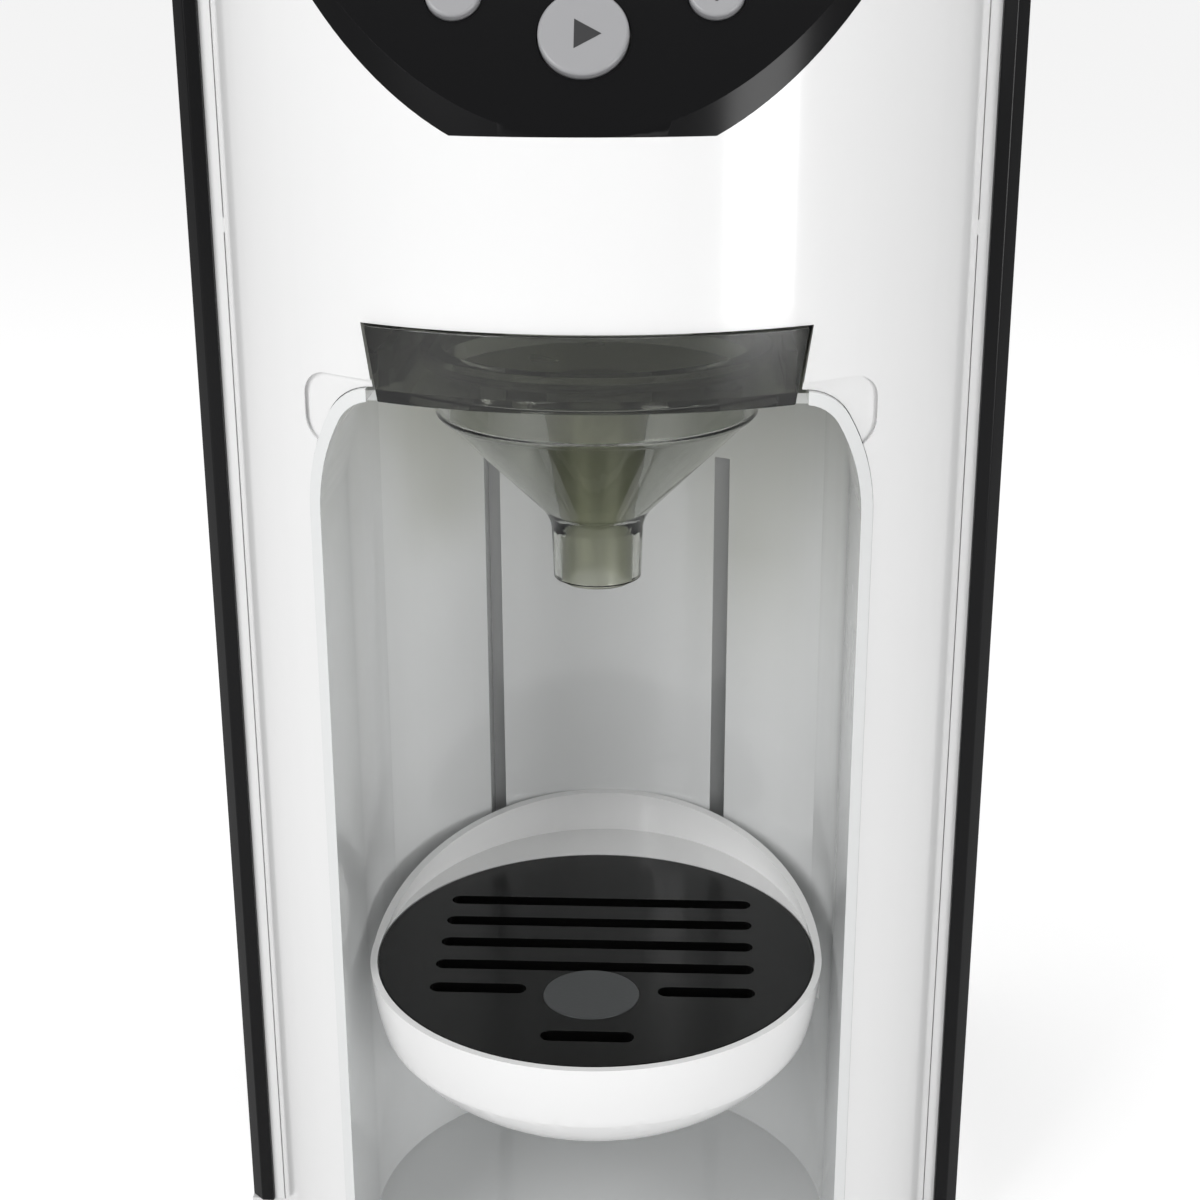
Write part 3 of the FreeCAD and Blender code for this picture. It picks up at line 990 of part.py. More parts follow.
# Rear housing: a round-cornered skirt whose deck is the tank's seat.
REAR_FRONT = "(body_back + panel_overhang + over)"


def rear_plan(inset):
    """The rear housing's plan, moved inwards."""
    side = "(half_width - %s)" % inset
    return [("-" + side, REAR_FRONT), (side, REAR_FRONT), (side, CORNER_Y, "rear_corner - " + inset, "left"),
            (CORNER_X, "overall_back - " + inset),
            ("-" + CORNER_X, "overall_back - " + inset, "rear_corner - " + inset, "left"), ("-" + side, CORNER_Y)]


rear_blank = pad("rear_blank", "XY_Plane", [rear_plan("0")], "bay_deck - " + BASE_TOP, "0", "0", BASE_TOP)
rear_hollow = common("rear_hollow",
                     pad("rear_inner", "XY_Plane", [rear_plan("rear_wall")],
                         "bay_deck - rear_wall - %s + over" % BASE_TOP, "0", "0", BASE_TOP + " - over"),
                     box("rear_keep", "2 * half_width", "overall_back", "bay_deck", "-half_width", "0", "0"))
rear_mouth = box("rear_mouth", "2 * (half_width - rear_wall)", "4 * over", "bay_deck - rear_wall - " + BASE_TOP,
                 "rear_wall - half_width", REAR_FRONT + " - 2 * over", BASE_TOP)
inlet_hole = box("inlet_hole", "inlet_wide + 2 * play", "inlet_deep", "inlet_tall + 2 * play",
                 "inlet_place - inlet_wide / 2 - play", "overall_back - inlet_deep + over", "inlet_low - play")
seat_hole = cylinder("seat_hole", "2 * valve_radius + over", "rear_wall + 2 * over", "0", "valve_place",
                     "bay_deck - rear_wall - over")
TANK_FRONT = "(body_back + panel_overhang + tank_gap)"
tank_pads = []
for i, (sign, y) in enumerate((("-", TANK_FRONT), ("", TANK_FRONT), ("-", "overall_back"), ("", "overall_back"))):
    inward = "+" if y == TANK_FRONT else "-"
    tank_pads.append(cylinder("tank_pad_%d" % i, "tank_pad", "tank_low - bay_deck",
                              "%s(half_width - rear_corner + tank_pad)" % sign, "%s %s 2.5 * tank_pad" % (y, inward),
                              "bay_deck"))
node(fuse("rear_fuse", cut("rear_cut", rear_blank, rear_hollow, rear_mouth, inlet_hole, seat_hole), *tank_pads),
     "rear_housing")

# Mains inlet: a socket of the usual two-pin kind with a flange on the rear housing.
INLET_X = "(inlet_place - inlet_wide / 2)"
inlet_body = box("inlet_body", "inlet_wide", "inlet_deep + over", "inlet_tall", INLET_X,
                 "overall_back - inlet_deep", "inlet_low")
inlet_flange = box("inlet_flange", "inlet_wide + 2 * inlet_rim", "inlet_rim_thick", "inlet_tall + 2 * inlet_rim",
                   INLET_X + " - inlet_rim", "overall_back", "inlet_low - inlet_rim")
inlet_mouth = box("inlet_mouth", "inlet_wide - 4 * inlet_rim", "inlet_deep", "inlet_tall - 4.5 * inlet_rim",
                  INLET_X + " + 2 * inlet_rim", "overall_back - inlet_deep / 2 - over", "inlet_low + 2.25 * inlet_rim")
inlet_pins = [box("inlet_pin_" + side, "inlet_rim", "inlet_deep / 2 + over", "2 * inlet_rim",
                  "inlet_place %s 2.5 * inlet_rim - inlet_rim / 2" % sign, "overall_back - inlet_deep / 2 - 2 * over",
                  "inlet_low + 4 * inlet_rim")
              for side, sign in (("left", "-"), ("right", "+"))]
node(fuse("inlet_fuse", cut("inlet_shell", fuse("inlet_blank", inlet_body, inlet_flange), inlet_mouth),
          *inlet_pins), "power_inlet")

# Water tank: an open box in the machine's plan, with ears for the lid's hinges.
TANK_X = "(half_width - tank_inset)"
TANK_ROUND = "(rear_corner - tank_inset)"
TANK_BACK = "(overall_back - tank_inset)"
TANK_TOP = "(deck_top - tank_drop)"


def tank_plan(inset):
    """The tank's plan, moved inwards."""
    return [
        ("-%s + (%s)" % (TANK_X, inset), TANK_FRONT + " + (%s)" % inset),
        ("%s - (%s)" % (TANK_X, inset), TANK_FRONT + " + (%s)" % inset),
        ("%s - (%s)" % (TANK_X, inset), CORNER_Y, "%s - (%s)" % (TANK_ROUND, inset), "left"),
        (CORNER_X, "%s - (%s)" % (TANK_BACK, inset)),
        ("-(%s)" % CORNER_X, "%s - (%s)" % (TANK_BACK, inset), "%s - (%s)" % (TANK_ROUND, inset), "left"),
        ("-%s + (%s)" % (TANK_X, inset), CORNER_Y)]


HINGE_Y = "(%s + hinge_out)" % TANK_BACK
HINGE_Z = "(%s + play + lid_thick / 2)" % TANK_TOP
EAR_OUT = "(hinge_half + play + hinge_ear)"
tank_blank = pad("tank_blank", "XY_Plane", [tank_plan("0")], TANK_TOP + " - tank_low", "0", "0", "tank_low")
tank_hollow = pad("tank_hollow", "XY_Plane", [tank_plan("tank_wall")], TANK_TOP + " - tank_low", "0", "0",
                  "tank_low + tank_wall")
valve_hole = cylinder("valve_hole", "valve_radius + fit", "tank_wall + 2 * over", "0", "valve_place",
                      "tank_low - over")
ears = []
notches = []
barrels = []
ear_space = []
pins = []
for side, sign in SIDES:
    middle = "%shinge_place" % sign
    for tag, x in (("a", middle + " - " + EAR_OUT), ("b", middle + " + hinge_half + play")):
        name = "ear_%s_%s" % (side, tag)
        ears.append(cylinder(name + "_eye", "hinge_radius", "hinge_ear", x, HINGE_Y, HINGE_Z, (0, 1, 0)))
        ears.append(box(name + "_web", "hinge_ear", "hinge_radius + hinge_out", "ear_tall", x,
                        TANK_BACK + " - over / 2", HINGE_Z + " - ear_tall"))
        ear_space.append(box(name + "_space", "hinge_ear + 2 * play", "2 * hinge_radius", "2 * lid_thick",
                             x + " - play", HINGE_Y + " - hinge_radius - play", HINGE_Z + " - lid_thick"))
    notches.append(box("hinge_notch_" + side, "2 * (hinge_half + play)", "3 * hinge_radius", "2 * hinge_radius",
                       middle + " - hinge_half - play", HINGE_Y + " - hinge_radius - play",
                       HINGE_Z + " - hinge_radius - play"))
    barrels.append(cylinder("barrel_" + side, "hinge_radius", "2 * hinge_half", middle + " - hinge_half", HINGE_Y,
                            HINGE_Z, (0, 1, 0)))
    pins.append(cylinder("hinge_pin_" + side, "hinge_pin", "2 * " + EAR_OUT, middle + " - " + EAR_OUT, HINGE_Y,
                         HINGE_Z, (0, 1, 0)))
pin_bores = [cylinder("pin_bore_" + side, "hinge_pin + fit", "2 * (%s + over)" % EAR_OUT,
                      "%shinge_place - %s - over" % (sign, EAR_OUT), HINGE_Y, HINGE_Z, (0, 1, 0))
             for side, sign in SIDES]
tank_shell = fuse("tank_shell", cut("tank_open", tank_blank, tank_hollow, valve_hole), *ears)
node(cut("tank_cut", tank_shell, *notches, *pin_bores), "water_tank")
lid_plate = pad("lid_plate", "XY_Plane", [tank_plan("0")], "lid_thick", "0", "0", TANK_TOP + " + play")
LIP_TOP = "(%s + play + over)" % TANK_TOP
lip_outer = pad("lip_outer", "XY_Plane", [tank_plan("tank_wall + play")], "lid_lip + over", "0", "0",
                LIP_TOP + " - lid_lip - over")
lip_inner = pad("lip_inner", "XY_Plane", [tank_plan("tank_wall + play + lid_lip_wall")], "lid_lip + 3 * over", "0",
                "0", LIP_TOP + " - lid_lip - 2 * over")
lip_back = box("lip_back", "2 * half_width", "rear_corner", "4 * lid_lip", "-half_width", CORNER_Y + " + tank_pad",
               TANK_TOP + " - 2 * lid_lip")
lid_blank = fuse("lid_blank", cut("lid_plate_cut", lid_plate, *ear_space), *barrels,
                 cut("lid_lip_ring", lip_outer, lip_inner, lip_back))
node(cut("tank_lid_cut", lid_blank, *pin_bores), "tank_lid")
node(group("hinge_pins_group", *pins), "lid_hinge_pins")

# Tank valve: a plunger with a seal in the tank's floor, lifted by the pin in the socket below.
VALVE_Z = "(tank_low + tank_wall)"
node(turned("plunger_body", [[
    ("0", "bay_deck + over"), ("valve_radius", "bay_deck + over"), ("valve_radius", VALVE_Z + " + 2 * over"),
    ("valve_radius + valve_flange", VALVE_Z + " + 2 * over"), ("valve_radius + valve_flange", VALVE_Z + " + 4 * over"),
    ("0", VALVE_Z + " + 4 * over")]], "0", "valve_place"), "valve_plunger")
node(turned("valve_seal_body", [[
    ("valve_radius + over", VALVE_Z), ("valve_radius + valve_flange", VALVE_Z),
    ("valve_radius + valve_flange", VALVE_Z + " + valve_seal"), ("valve_radius + over", VALVE_Z + " + valve_seal")]],
    "0", "valve_place"), "valve_seal")
SOCKET_LOW = "(bay_deck - 6 * rear_wall)"
SOCKET_OUT = "(2 * valve_radius + over - seam)"
seat_body = turned("seat_body", [[
    ("hose_radius", SOCKET_LOW), ("valve_radius + 1.2", SOCKET_LOW), ("valve_radius + 1.2", "bay_deck - valve_radius * 2"),
    (SOCKET_OUT, "bay_deck - valve_radius * 2"), (SOCKET_OUT, "bay_deck"), ("3 * valve_radius", "bay_deck"),
    ("3 * valve_radius", "bay_deck + 2 * over"), ("valve_radius + 2", "bay_deck + 2 * over"),
    ("valve_radius + 2", "bay_deck - valve_radius - over"), ("hose_radius", "bay_deck - valve_radius - over")]],
    "0", "valve_place")
seat_web = box("seat_web", "2 * valve_radius + 6", "1.6", "2", "-valve_radius - 3", "valve_place - 0.8",
               "bay_deck - valve_radius")
seat_pin = cylinder("seat_pin", "1.5", "valve_radius - over", "0", "valve_place", "bay_deck - 2.3")
node(fuse("seat_fuse", seat_body, seat_web, seat_pin), "tank_socket")

# Pump, heater and main board behind the bay.
pump_body = fuse("pump_body",
                 cylinder("pump_can", "pump_radius", "2.5 * pump_radius", "7", "valve_place", "pump_height", (0, 1, 0)),
                 cylinder("pump_end", "pump_head", "14", "-7", "valve_place", "pump_height", (0, 1, 0)),
                 cylinder("pump_inlet", "hose_radius", "pump_radius + 4", "0", "valve_place",
                          "pump_height + pump_radius"),
                 cylinder("pump_outlet", "hose_radius", "24", "0", "valve_place", "pump_height", (1, 0, 0)),
                 box("pump_foot", "30", "26", "12", "11", "valve_place - 13", BASE_TOP))
node(pump_body, "water_pump")
HEATER_TOP = "(heater_low + heater_tall)"
heater = fuse("heater_blank",
              cylinder("heater_core", "heater_radius", "heater_tall", "heater_x", "heater_y", "heater_low"),
              cylinder("heater_low_flange", "heater_flange", "4", "heater_x", "heater_y", "heater_low"),
              cylinder("heater_top_flange", "heater_flange", "4", "heater_x", "heater_y", HEATER_TOP + " - 4"),
              cylinder("heater_low_port", "hose_radius", "10", "heater_x", "heater_y", "heater_low - 10"),
              cylinder("heater_top_port", "hose_radius", "10", "heater_x", "heater_y", HEATER_TOP),
              box("heater_bracket", "8", "body_back - frame_back - heater_y - heater_radius + 2", "60", "heater_x - 4",
                  "heater_y + heater_radius - 2", "heater_low + 18"))
node(heater, "water_heater")
BOARD_Y = "(body_back - frame_back - 5)"
board_solids = [box("board_plate", "80", "board_thick", "90", "-10", BOARD_Y, "60"),
                box("board_relay", "16", "12", "15", "0", BOARD_Y + " - 12", "72"),
                box("board_supply", "26", "16", "22", "34", BOARD_Y + " - 16", "70"),
                box("board_chip", "14", "2", "14", "14", BOARD_Y + " - 2", "112"),
                box("board_plug", "20", "8", "8", "40", BOARD_Y + " - 8", "132")]
for i, (x, z) in enumerate((("-8", "62"), ("63", "62"), ("-8", "143"), ("63", "143"))):
    board_solids.append(box("board_post_%d" % i, "5", "5 - board_thick", "5", x, BOARD_Y + " + board_thick", z))
node(fuse("board_fuse", *board_solids), "main_board")


# Hoses: straight runs joined by tangent arcs.
def hose(label, points):
    """A hose through points, with each corner rounded as much as its runs allow."""
    edges = []
    last = points[0]
    for before, corner, after in zip(points, points[1:], points[2:]):
        run_in = (corner - before).Length
        run_out = (after - corner).Length
        reach = 0.45 * min(run_in, run_out)
        start = corner + (before - corner).normalize() * reach
        stop = corner + (after - corner).normalize() * reach
        turn = (corner - before).getAngle(after - corner)
        bend = reach / math.tan(turn / 2)
        inward = ((start + stop) * 0.5 - corner).normalize()
        middle = corner + inward * (math.hypot(reach, bend) - bend)
        edges.append(Part.LineSegment(last, start).toShape())
        edges.append(Part.Arc(start, middle, stop).toShape())
        last = stop
    edges.append(Part.LineSegment(last, points[-1]).toShape())
    path = Part.Wire(edges)
    along = (points[1] - points[0]).normalize()
    ring = Part.Wire(Part.makeCircle(val("hose_radius"), points[0], along))
    made = doc.addObject("Part::Feature", label + "_tube")
    made.Shape = path.makePipeShell([ring], True, False)
    return node(made, label)


def spot(x, y, z):
    return FreeCAD.Vector(val(x), val(y), val(z))


node(cylinder("inlet_hose_tube", "hose_radius", SOCKET_LOW + " - pump_height - 2 * pump_radius - 4", "0", "valve_place",
              "pump_height + 2 * pump_radius + 4"), "inlet_hose")
hose("supply_hose", [spot("0", "valve_place - 24", "pump_height"), spot("0", "30", "pump_height"),
                     spot("heater_x", "heater_y", "pump_height"), spot("heater_x", "heater_y", "heater_low - 10")])
NOZZLE_BACK = "(spout_axis + 41)"
hose("delivery_hose", [spot("heater_x", "heater_y", HEATER_TOP + " + 10"), spot("heater_x", "heater_y", "200"),
                       spot("-38", "-8", "nozzle_height"), spot("nozzle_x", "-20", "nozzle_height"),
                       spot("nozzle_x", NOZZLE_BACK, "nozzle_height")])
nozzle_pipe = cylinder("nozzle_pipe", "nozzle_radius", "nozzle_long", "nozzle_x", NOZZLE_BACK, "nozzle_height", (1, 0, 0))
nozzle_post = box("nozzle_post", "nozzle_post_wide", "nozzle_post_deep", "nozzle_hang",
                  "nozzle_x - nozzle_post_wide / 2", NOZZLE_BACK + " - nozzle_post_back", "nozzle_height")
nozzle_way = cylinder("nozzle_way", "nozzle_bore", "nozzle_long - nozzle_tip", "nozzle_x", NOZZLE_BACK + " + over", "nozzle_height",
                      (1, 0, 0))
nozzle_drop = cylinder("nozzle_drop", "nozzle_bore - fit", "6", "nozzle_x", NOZZLE_BACK + " - nozzle_outlet",
                       "nozzle_height - 6")
node(cut("nozzle_cut", fuse("nozzle_blank", nozzle_pipe, nozzle_post), nozzle_way, nozzle_drop), "water_nozzle")

# Screws: four hold the base to the frame, three the gearbox to the shelf.
screws("base_screws", BASE_SCREWS, "foot_rise + seam", "screw_length - over")
screws("gearbox_screws", LUGS, SHELF_LOW + " - lug_height - screw_head_high", "lug_height + shelf_thick")

doc.recompute()
faults = []
for obj in doc.Objects:
    if "Invalid" in obj.State or "Error" in obj.State:
        faults.append((obj.Name, obj.State))
for obj in NODES:
    if obj.Shape.isNull() or not obj.Shape.isValid():
        faults.append((obj.Label, "bad shape"))
if faults:
    raise SystemExit("failed: %s" % faults)
os.makedirs("parts", exist_ok=True)
whole = FreeCAD.BoundBox()
for obj in NODES:
    obj.Shape.exportStep("parts/%s.step" % obj.Label)
    whole.add(obj.Shape.BoundBox)
    print("%-22s solids %d  volume %.1f" % (obj.Label, len(obj.Shape.Solids), obj.Shape.Volume))
print("nodes", len(NODES), "box", whole)
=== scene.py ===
# %% [markdown]
# A baby formula maker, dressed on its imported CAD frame. The CAD pieces hold every size and place.
# Here each shell gets smooth surfaces, fine rounded edges and a procedural finish, and the small
# things that a mould or a printer adds are modelled over it.

import bpy
import json
import math
from mathutils import Matrix, Vector

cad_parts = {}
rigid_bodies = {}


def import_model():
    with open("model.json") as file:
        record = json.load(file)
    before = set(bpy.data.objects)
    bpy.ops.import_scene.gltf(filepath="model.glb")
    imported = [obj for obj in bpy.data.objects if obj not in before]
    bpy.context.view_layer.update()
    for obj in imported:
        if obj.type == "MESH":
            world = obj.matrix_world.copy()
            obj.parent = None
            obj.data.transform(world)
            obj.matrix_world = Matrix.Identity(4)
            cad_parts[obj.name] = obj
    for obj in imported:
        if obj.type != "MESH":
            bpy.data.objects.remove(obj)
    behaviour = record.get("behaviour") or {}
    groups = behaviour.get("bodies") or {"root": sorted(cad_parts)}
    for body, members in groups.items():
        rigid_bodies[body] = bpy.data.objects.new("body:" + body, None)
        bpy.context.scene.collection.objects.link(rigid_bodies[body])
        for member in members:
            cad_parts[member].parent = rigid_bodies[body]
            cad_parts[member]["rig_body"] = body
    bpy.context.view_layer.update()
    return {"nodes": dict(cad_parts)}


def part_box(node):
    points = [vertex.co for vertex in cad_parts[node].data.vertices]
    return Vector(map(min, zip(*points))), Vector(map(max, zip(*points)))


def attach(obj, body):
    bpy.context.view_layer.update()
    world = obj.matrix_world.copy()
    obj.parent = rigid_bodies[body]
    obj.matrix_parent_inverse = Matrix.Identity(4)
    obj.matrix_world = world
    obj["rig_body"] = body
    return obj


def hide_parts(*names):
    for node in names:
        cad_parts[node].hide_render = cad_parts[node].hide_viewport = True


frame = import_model()
NODES = frame["nodes"]

# %% [markdown]
# A photograph's camera can be matched by eye, or by a fit to known shapes. The drip grille is a
# circle with evenly spaced slots, so its ellipse in the picture fixes the lens and the viewpoint:
# 59 mm on a 36 mm sensor, 18.4 degrees down, a little to the right of the middle.

# %% Camera
GRILLE_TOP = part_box("drip_grille")[1].z
GRILLE_MIDDLE = (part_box("drip_grille")[0].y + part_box("drip_grille")[1].y) / 2
CAMERA_PLACE = Vector((0.0200, GRILLE_MIDDLE - 0.3815, GRILLE_TOP + 0.2073))
LOOK_DOWN = math.radians(18.41)
LOOK_SIDE = math.radians(-2.83)
ROLL = math.radians(-0.21)

camera_data = bpy.data.cameras.new("camera")
camera_data.sensor_width = 36.0
camera_data.lens = 59.02
camera_data.clip_start = 0.01
camera = bpy.data.objects.new("camera", camera_data)
bpy.context.scene.collection.objects.link(camera)
forward = Vector((math.sin(LOOK_SIDE) * math.cos(LOOK_DOWN),
                  math.cos(LOOK_SIDE) * math.cos(LOOK_DOWN),
                  -math.sin(LOOK_DOWN)))
turn = forward.to_track_quat("-Z", "Y").to_matrix() @ Matrix.Rotation(ROLL, 3, "Z")
camera.matrix_world = Matrix.Translation(CAMERA_PLACE) @ turn.to_4x4()
bpy.context.scene.camera = camera
print("camera at", [round(v, 4) for v in CAMERA_PLACE])

# %% [markdown]
# The picture was taken in a white studio. A pale floor and a pale backdrop are enough, and both
# are stage, so they aren't part of the object. The world is white to the camera, softer in what it
# lights, and darker in reflections, which keeps the black plastics black.

# %% Stage
scene = bpy.context.scene
scene.view_settings.view_transform = "Standard"
bpy.ops.object.select_all(action="DESELECT")
bpy.ops.mesh.primitive_plane_add(size=30, location=(0, 0, 0))
floor = bpy.context.object
floor.name = "floor"
floor_white = bpy.data.materials.new("floor_white")
floor_white.use_nodes = True
floor_shader = floor_white.node_tree.nodes["Principled BSDF"]
floor_shader.inputs["Base Color"].default_value = (0.8, 0.8, 0.8, 1)
floor_shader.inputs["Roughness"].default_value = 0.7
floor_shader.inputs["Emission Color"].default_value = (1, 1, 1, 1)
floor_glow = floor_white.node_tree.nodes.new("ShaderNodeLightPath")
floor_level = floor_white.node_tree.nodes.new("ShaderNodeMath")
floor_level.operation = "MULTIPLY"
floor_level.inputs[1].default_value = 0.52
floor_white.node_tree.links.new(floor_glow.outputs["Is Camera Ray"], floor_level.inputs[0])
floor_white.node_tree.links.new(floor_level.outputs[0], floor_shader.inputs["Emission Strength"])
floor.data.materials.append(floor_white)

world = bpy.data.worlds.new("studio")
scene.world = world
world.use_nodes = True
tree = world.node_tree
sky = tree.nodes["Background"]
sky.inputs["Color"].default_value = (1, 1, 1, 1)
path = tree.nodes.new("ShaderNodeLightPath")


def level_by_ray(ray, level, below):
    """A level for one kind of ray over the level for all others."""
    pick = tree.nodes.new("ShaderNodeMix")
    pick.data_type = "FLOAT"
    tree.links.new(path.outputs[ray], pick.inputs["Factor"])
    if isinstance(below, float):
        pick.inputs["A"].default_value = below
    else:
        tree.links.new(below, pick.inputs["A"])
    pick.inputs["B"].default_value = level
    return pick.outputs["Result"]


sky_level = level_by_ray("Is Glossy Ray", 0.3, 0.5)
sky_level = level_by_ray("Is Transmission Ray", 0.7, sky_level)
sky_level = level_by_ray("Is Camera Ray", 1.0, sky_level)
tree.links.new(sky_level, sky.inputs["Strength"])


def soft_lamp(name, place, aim, size, power):
    """A soft box that looks at a point."""
    data = bpy.data.lights.new(name, "AREA")
    data.shape = "RECTANGLE"
    data.size, data.size_y = size
    data.energy = power
    lamp = bpy.data.objects.new(name, data)
    scene.collection.objects.link(lamp)
    lamp.location = place
    lamp.rotation_euler = (Vector(aim) - Vector(place)).to_track_quat("-Z", "Y").to_euler()
    return lamp


soft_lamp("key_left", (-0.9, -1.1, 0.75), (0, -0.1, 0.18), (0.7, 0.9), 9.5)
soft_lamp("fill_front", (0.25, -1.5, 0.5), (0, 0, 0.15), (0.5, 0.5), 1.2)
soft_lamp("right_low", (1.0, -1.0, 0.2), (0, -0.1, 0.1), (0.5, 0.4), 4.5)
soft_lamp("top_soft", (0.0, -0.1, 1.4), (0, 0, 0.2), (1.0, 1.0), 3.9)

# %% [markdown]
# Most of the machine is moulded plastic. Real mouldings aren't perfectly even: the gloss carries a
# faint orange-peel ripple, and the roughness wanders a little. Both come from noise on Object
# coordinates, so they stay on the piece when it moves.


# %% Plastic finishes
def new_material(name):
    """A material with its tree, its shader and its Object coordinates."""
    material = bpy.data.materials.new(name)
    material.use_nodes = True
    tree = material.node_tree
    place = tree.nodes.new("ShaderNodeTexCoord")
    return material, tree, tree.nodes["Principled BSDF"], place.outputs["Object"]


def noise(tree, where, scale, detail=2.0):
    """A noise value on Object coordinates."""
    made = tree.nodes.new("ShaderNodeTexNoise")
    made.inputs["Scale"].default_value = scale
    made.inputs["Detail"].default_value = detail
    tree.links.new(where, made.inputs["Vector"])
    return made.outputs["Fac"]


def spread(tree, value, low, high):
    """A value stretched between two ends."""
    made = tree.nodes.new("ShaderNodeMapRange")
    made.inputs["To Min"].default_value = low
    made.inputs["To Max"].default_value = high
    tree.links.new(value, made.inputs["Value"])
    return made.outputs["Result"]


def bump(tree, height, strength, distance, before=None):
    """A bump over an earlier one."""
    made = tree.nodes.new("ShaderNodeBump")
    made.inputs["Strength"].default_value = strength
    made.inputs["Distance"].default_value = distance
    tree.links.new(height, made.inputs["Height"])
    if before:
        tree.links.new(before, made.inputs["Normal"])
    return made.outputs["Normal"]


def plastic(name, colour, rough, ripple=0.02, coat=0.0, grain=0.0, grain_scale=1500.0, shine=0.5):
    """Moulded plastic: base colour, wandering roughness, a gloss ripple and an optional spark grain."""
    material, tree, shader, where = new_material(name)
    shader.inputs["Coat Weight"].default_value = coat
    shader.inputs["Coat Roughness"].default_value = 0.04
    shader.inputs["Specular IOR Level"].default_value = shine
    cloud = noise(tree, where, 14.0)
    tree.links.new(spread(tree, cloud, rough * 0.85, rough * 1.15), shader.inputs["Roughness"])
    tint = tree.nodes.new("ShaderNodeMix")
    tint.data_type = "RGBA"
    tint.inputs["A"].default_value = (*[c * 0.985 for c in colour], 1)
    tint.inputs["B"].default_value = (*colour, 1)
    tree.links.new(cloud, tint.inputs["Factor"])
    tree.links.new(tint.outputs["Result"], shader.inputs["Base Color"])
    normal = bump(tree, noise(tree, where, 90.0), ripple, 0.0006)
    if grain:
        normal = bump(tree, noise(tree, where, grain_scale), grain, 0.0002, normal)
    tree.links.new(normal, shader.inputs["Normal"])
    return material


white_gloss = plastic("white_gloss", (0.86, 0.86, 0.86), 0.16, coat=0.25)
white_liner = plastic("white_liner", (0.78, 0.79, 0.79), 0.12, coat=0.4, ripple=0.05)
white_satin = plastic("white_satin", (0.8, 0.8, 0.8), 0.38, grain=0.08)
black_gloss = plastic("black_gloss", (0.004, 0.004, 0.0045), 0.22, shine=0.22)
black_satin = plastic("black_satin", (0.012, 0.012, 0.013), 0.35, grain=0.15, shine=0.4)
grille_black = plastic("grille_black", (0.002, 0.002, 0.002), 0.22, shine=0.2, grain=0.02)
pad_grey = plastic("pad_grey", (0.05, 0.053, 0.055), 0.4, grain=0.1)
button_grey = plastic("button_grey", (0.34, 0.34, 0.35), 0.3, grain=0.05)
foot_rubber = plastic("foot_rubber", (0.02, 0.02, 0.02), 0.7, grain=0.25, grain_scale=900)
silicone = plastic("silicone", (0.62, 0.62, 0.6), 0.45, ripple=0.03)
gear_plastic = plastic("gear_plastic", (0.72, 0.7, 0.62), 0.4, grain=0.05)
board_green = plastic("board_green", (0.02, 0.12, 0.05), 0.3, coat=0.3)
print("plastics", [m.name for m in bpy.data.materials])


# %% [markdown]
# The drawer, the funnel, the powder container and the tank are smoke-grey clear plastic. A solid
# wall with a tinted transmission gives dark edges and clear faces by itself, as the real thing
# does. Shadow rays pass as through tinted film, so the space inside is lit as it would be.


# %% Clear finishes
def clear_plastic(name, tint, rough, film, cloud_scale=40.0):
    """Clear plastic with a tint, whose shadow is a tinted film."""
    material, tree, shader, where = new_material(name)
    shader.inputs["Base Color"].default_value = (*tint, 1)
    shader.inputs["Transmission Weight"].default_value = 1.0
    shader.inputs["IOR"].default_value = 1.49
    tree.links.new(spread(tree, noise(tree, where, cloud_scale), rough * 0.7, rough * 1.3),
                   shader.inputs["Roughness"])
    tree.links.new(bump(tree, noise(tree, where, 60.0), 0.03, 0.0005), shader.inputs["Normal"])
    veil = tree.nodes.new("ShaderNodeBsdfTransparent")
    veil.inputs["Color"].default_value = (*film, 1)
    mix = tree.nodes.new("ShaderNodeMixShader")
    ray = tree.nodes.new("ShaderNodeLightPath")
    tree.links.new(ray.outputs["Is Shadow Ray"], mix.inputs[0])
    tree.links.new(shader.outputs["BSDF"], mix.inputs[1])
    tree.links.new(veil.outputs["BSDF"], mix.inputs[2])
    tree.links.new(mix.outputs["Shader"], tree.nodes["Material Output"].inputs["Surface"])
    return material


smoke = clear_plastic("smoke", (0.36, 0.37, 0.33), 0.03, (0.72, 0.72, 0.69))
smoke_light = clear_plastic("smoke_light", (0.70, 0.71, 0.67), 0.03, (0.88, 0.88, 0.86))
smoke_olive = clear_plastic("smoke_olive", (0.80, 0.81, 0.70), 0.3, (0.8, 0.8, 0.72))
display_glass = clear_plastic("display_glass", (0.03, 0.035, 0.04), 0.05, (0.1, 0.1, 0.1))

print("clear plastics", smoke.name, smoke_light.name, smoke_olive.name, display_glass.name)

# %% [markdown]
# Shafts, screws and pins are drawn steel, the pinion is brass and the heater is cast aluminium. A
# noise that is squeezed along one axis gives the fine streaks of drawn or brushed metal.


# %% Metals
def metal(name, colour, rough, scale):
    """Bare metal with fine brushed streaks."""
    material, tree, shader, where = new_material(name)
    shader.inputs["Base Color"].default_value = (*colour, 1)
    shader.inputs["Metallic"].default_value = 1.0
    stretch = tree.nodes.new("ShaderNodeMapping")
    stretch.inputs["Scale"].default_value = (scale, scale, scale * 12)
    tree.links.new(where, stretch.inputs["Vector"])
    streak = noise(tree, stretch.outputs["Vector"], 40.0)
    tree.links.new(spread(tree, streak, rough * 0.7, rough * 1.3), shader.inputs["Roughness"])
    return material


steel = metal("steel", (0.56, 0.56, 0.57), 0.3, 1.0)
brass = metal("brass", (0.7, 0.52, 0.24), 0.28, 1.0)
cast_aluminium = metal("cast_aluminium", (0.62, 0.62, 0.63), 0.42, 0.3)
print("metals", steel.name, brass.name, cast_aluminium.name)

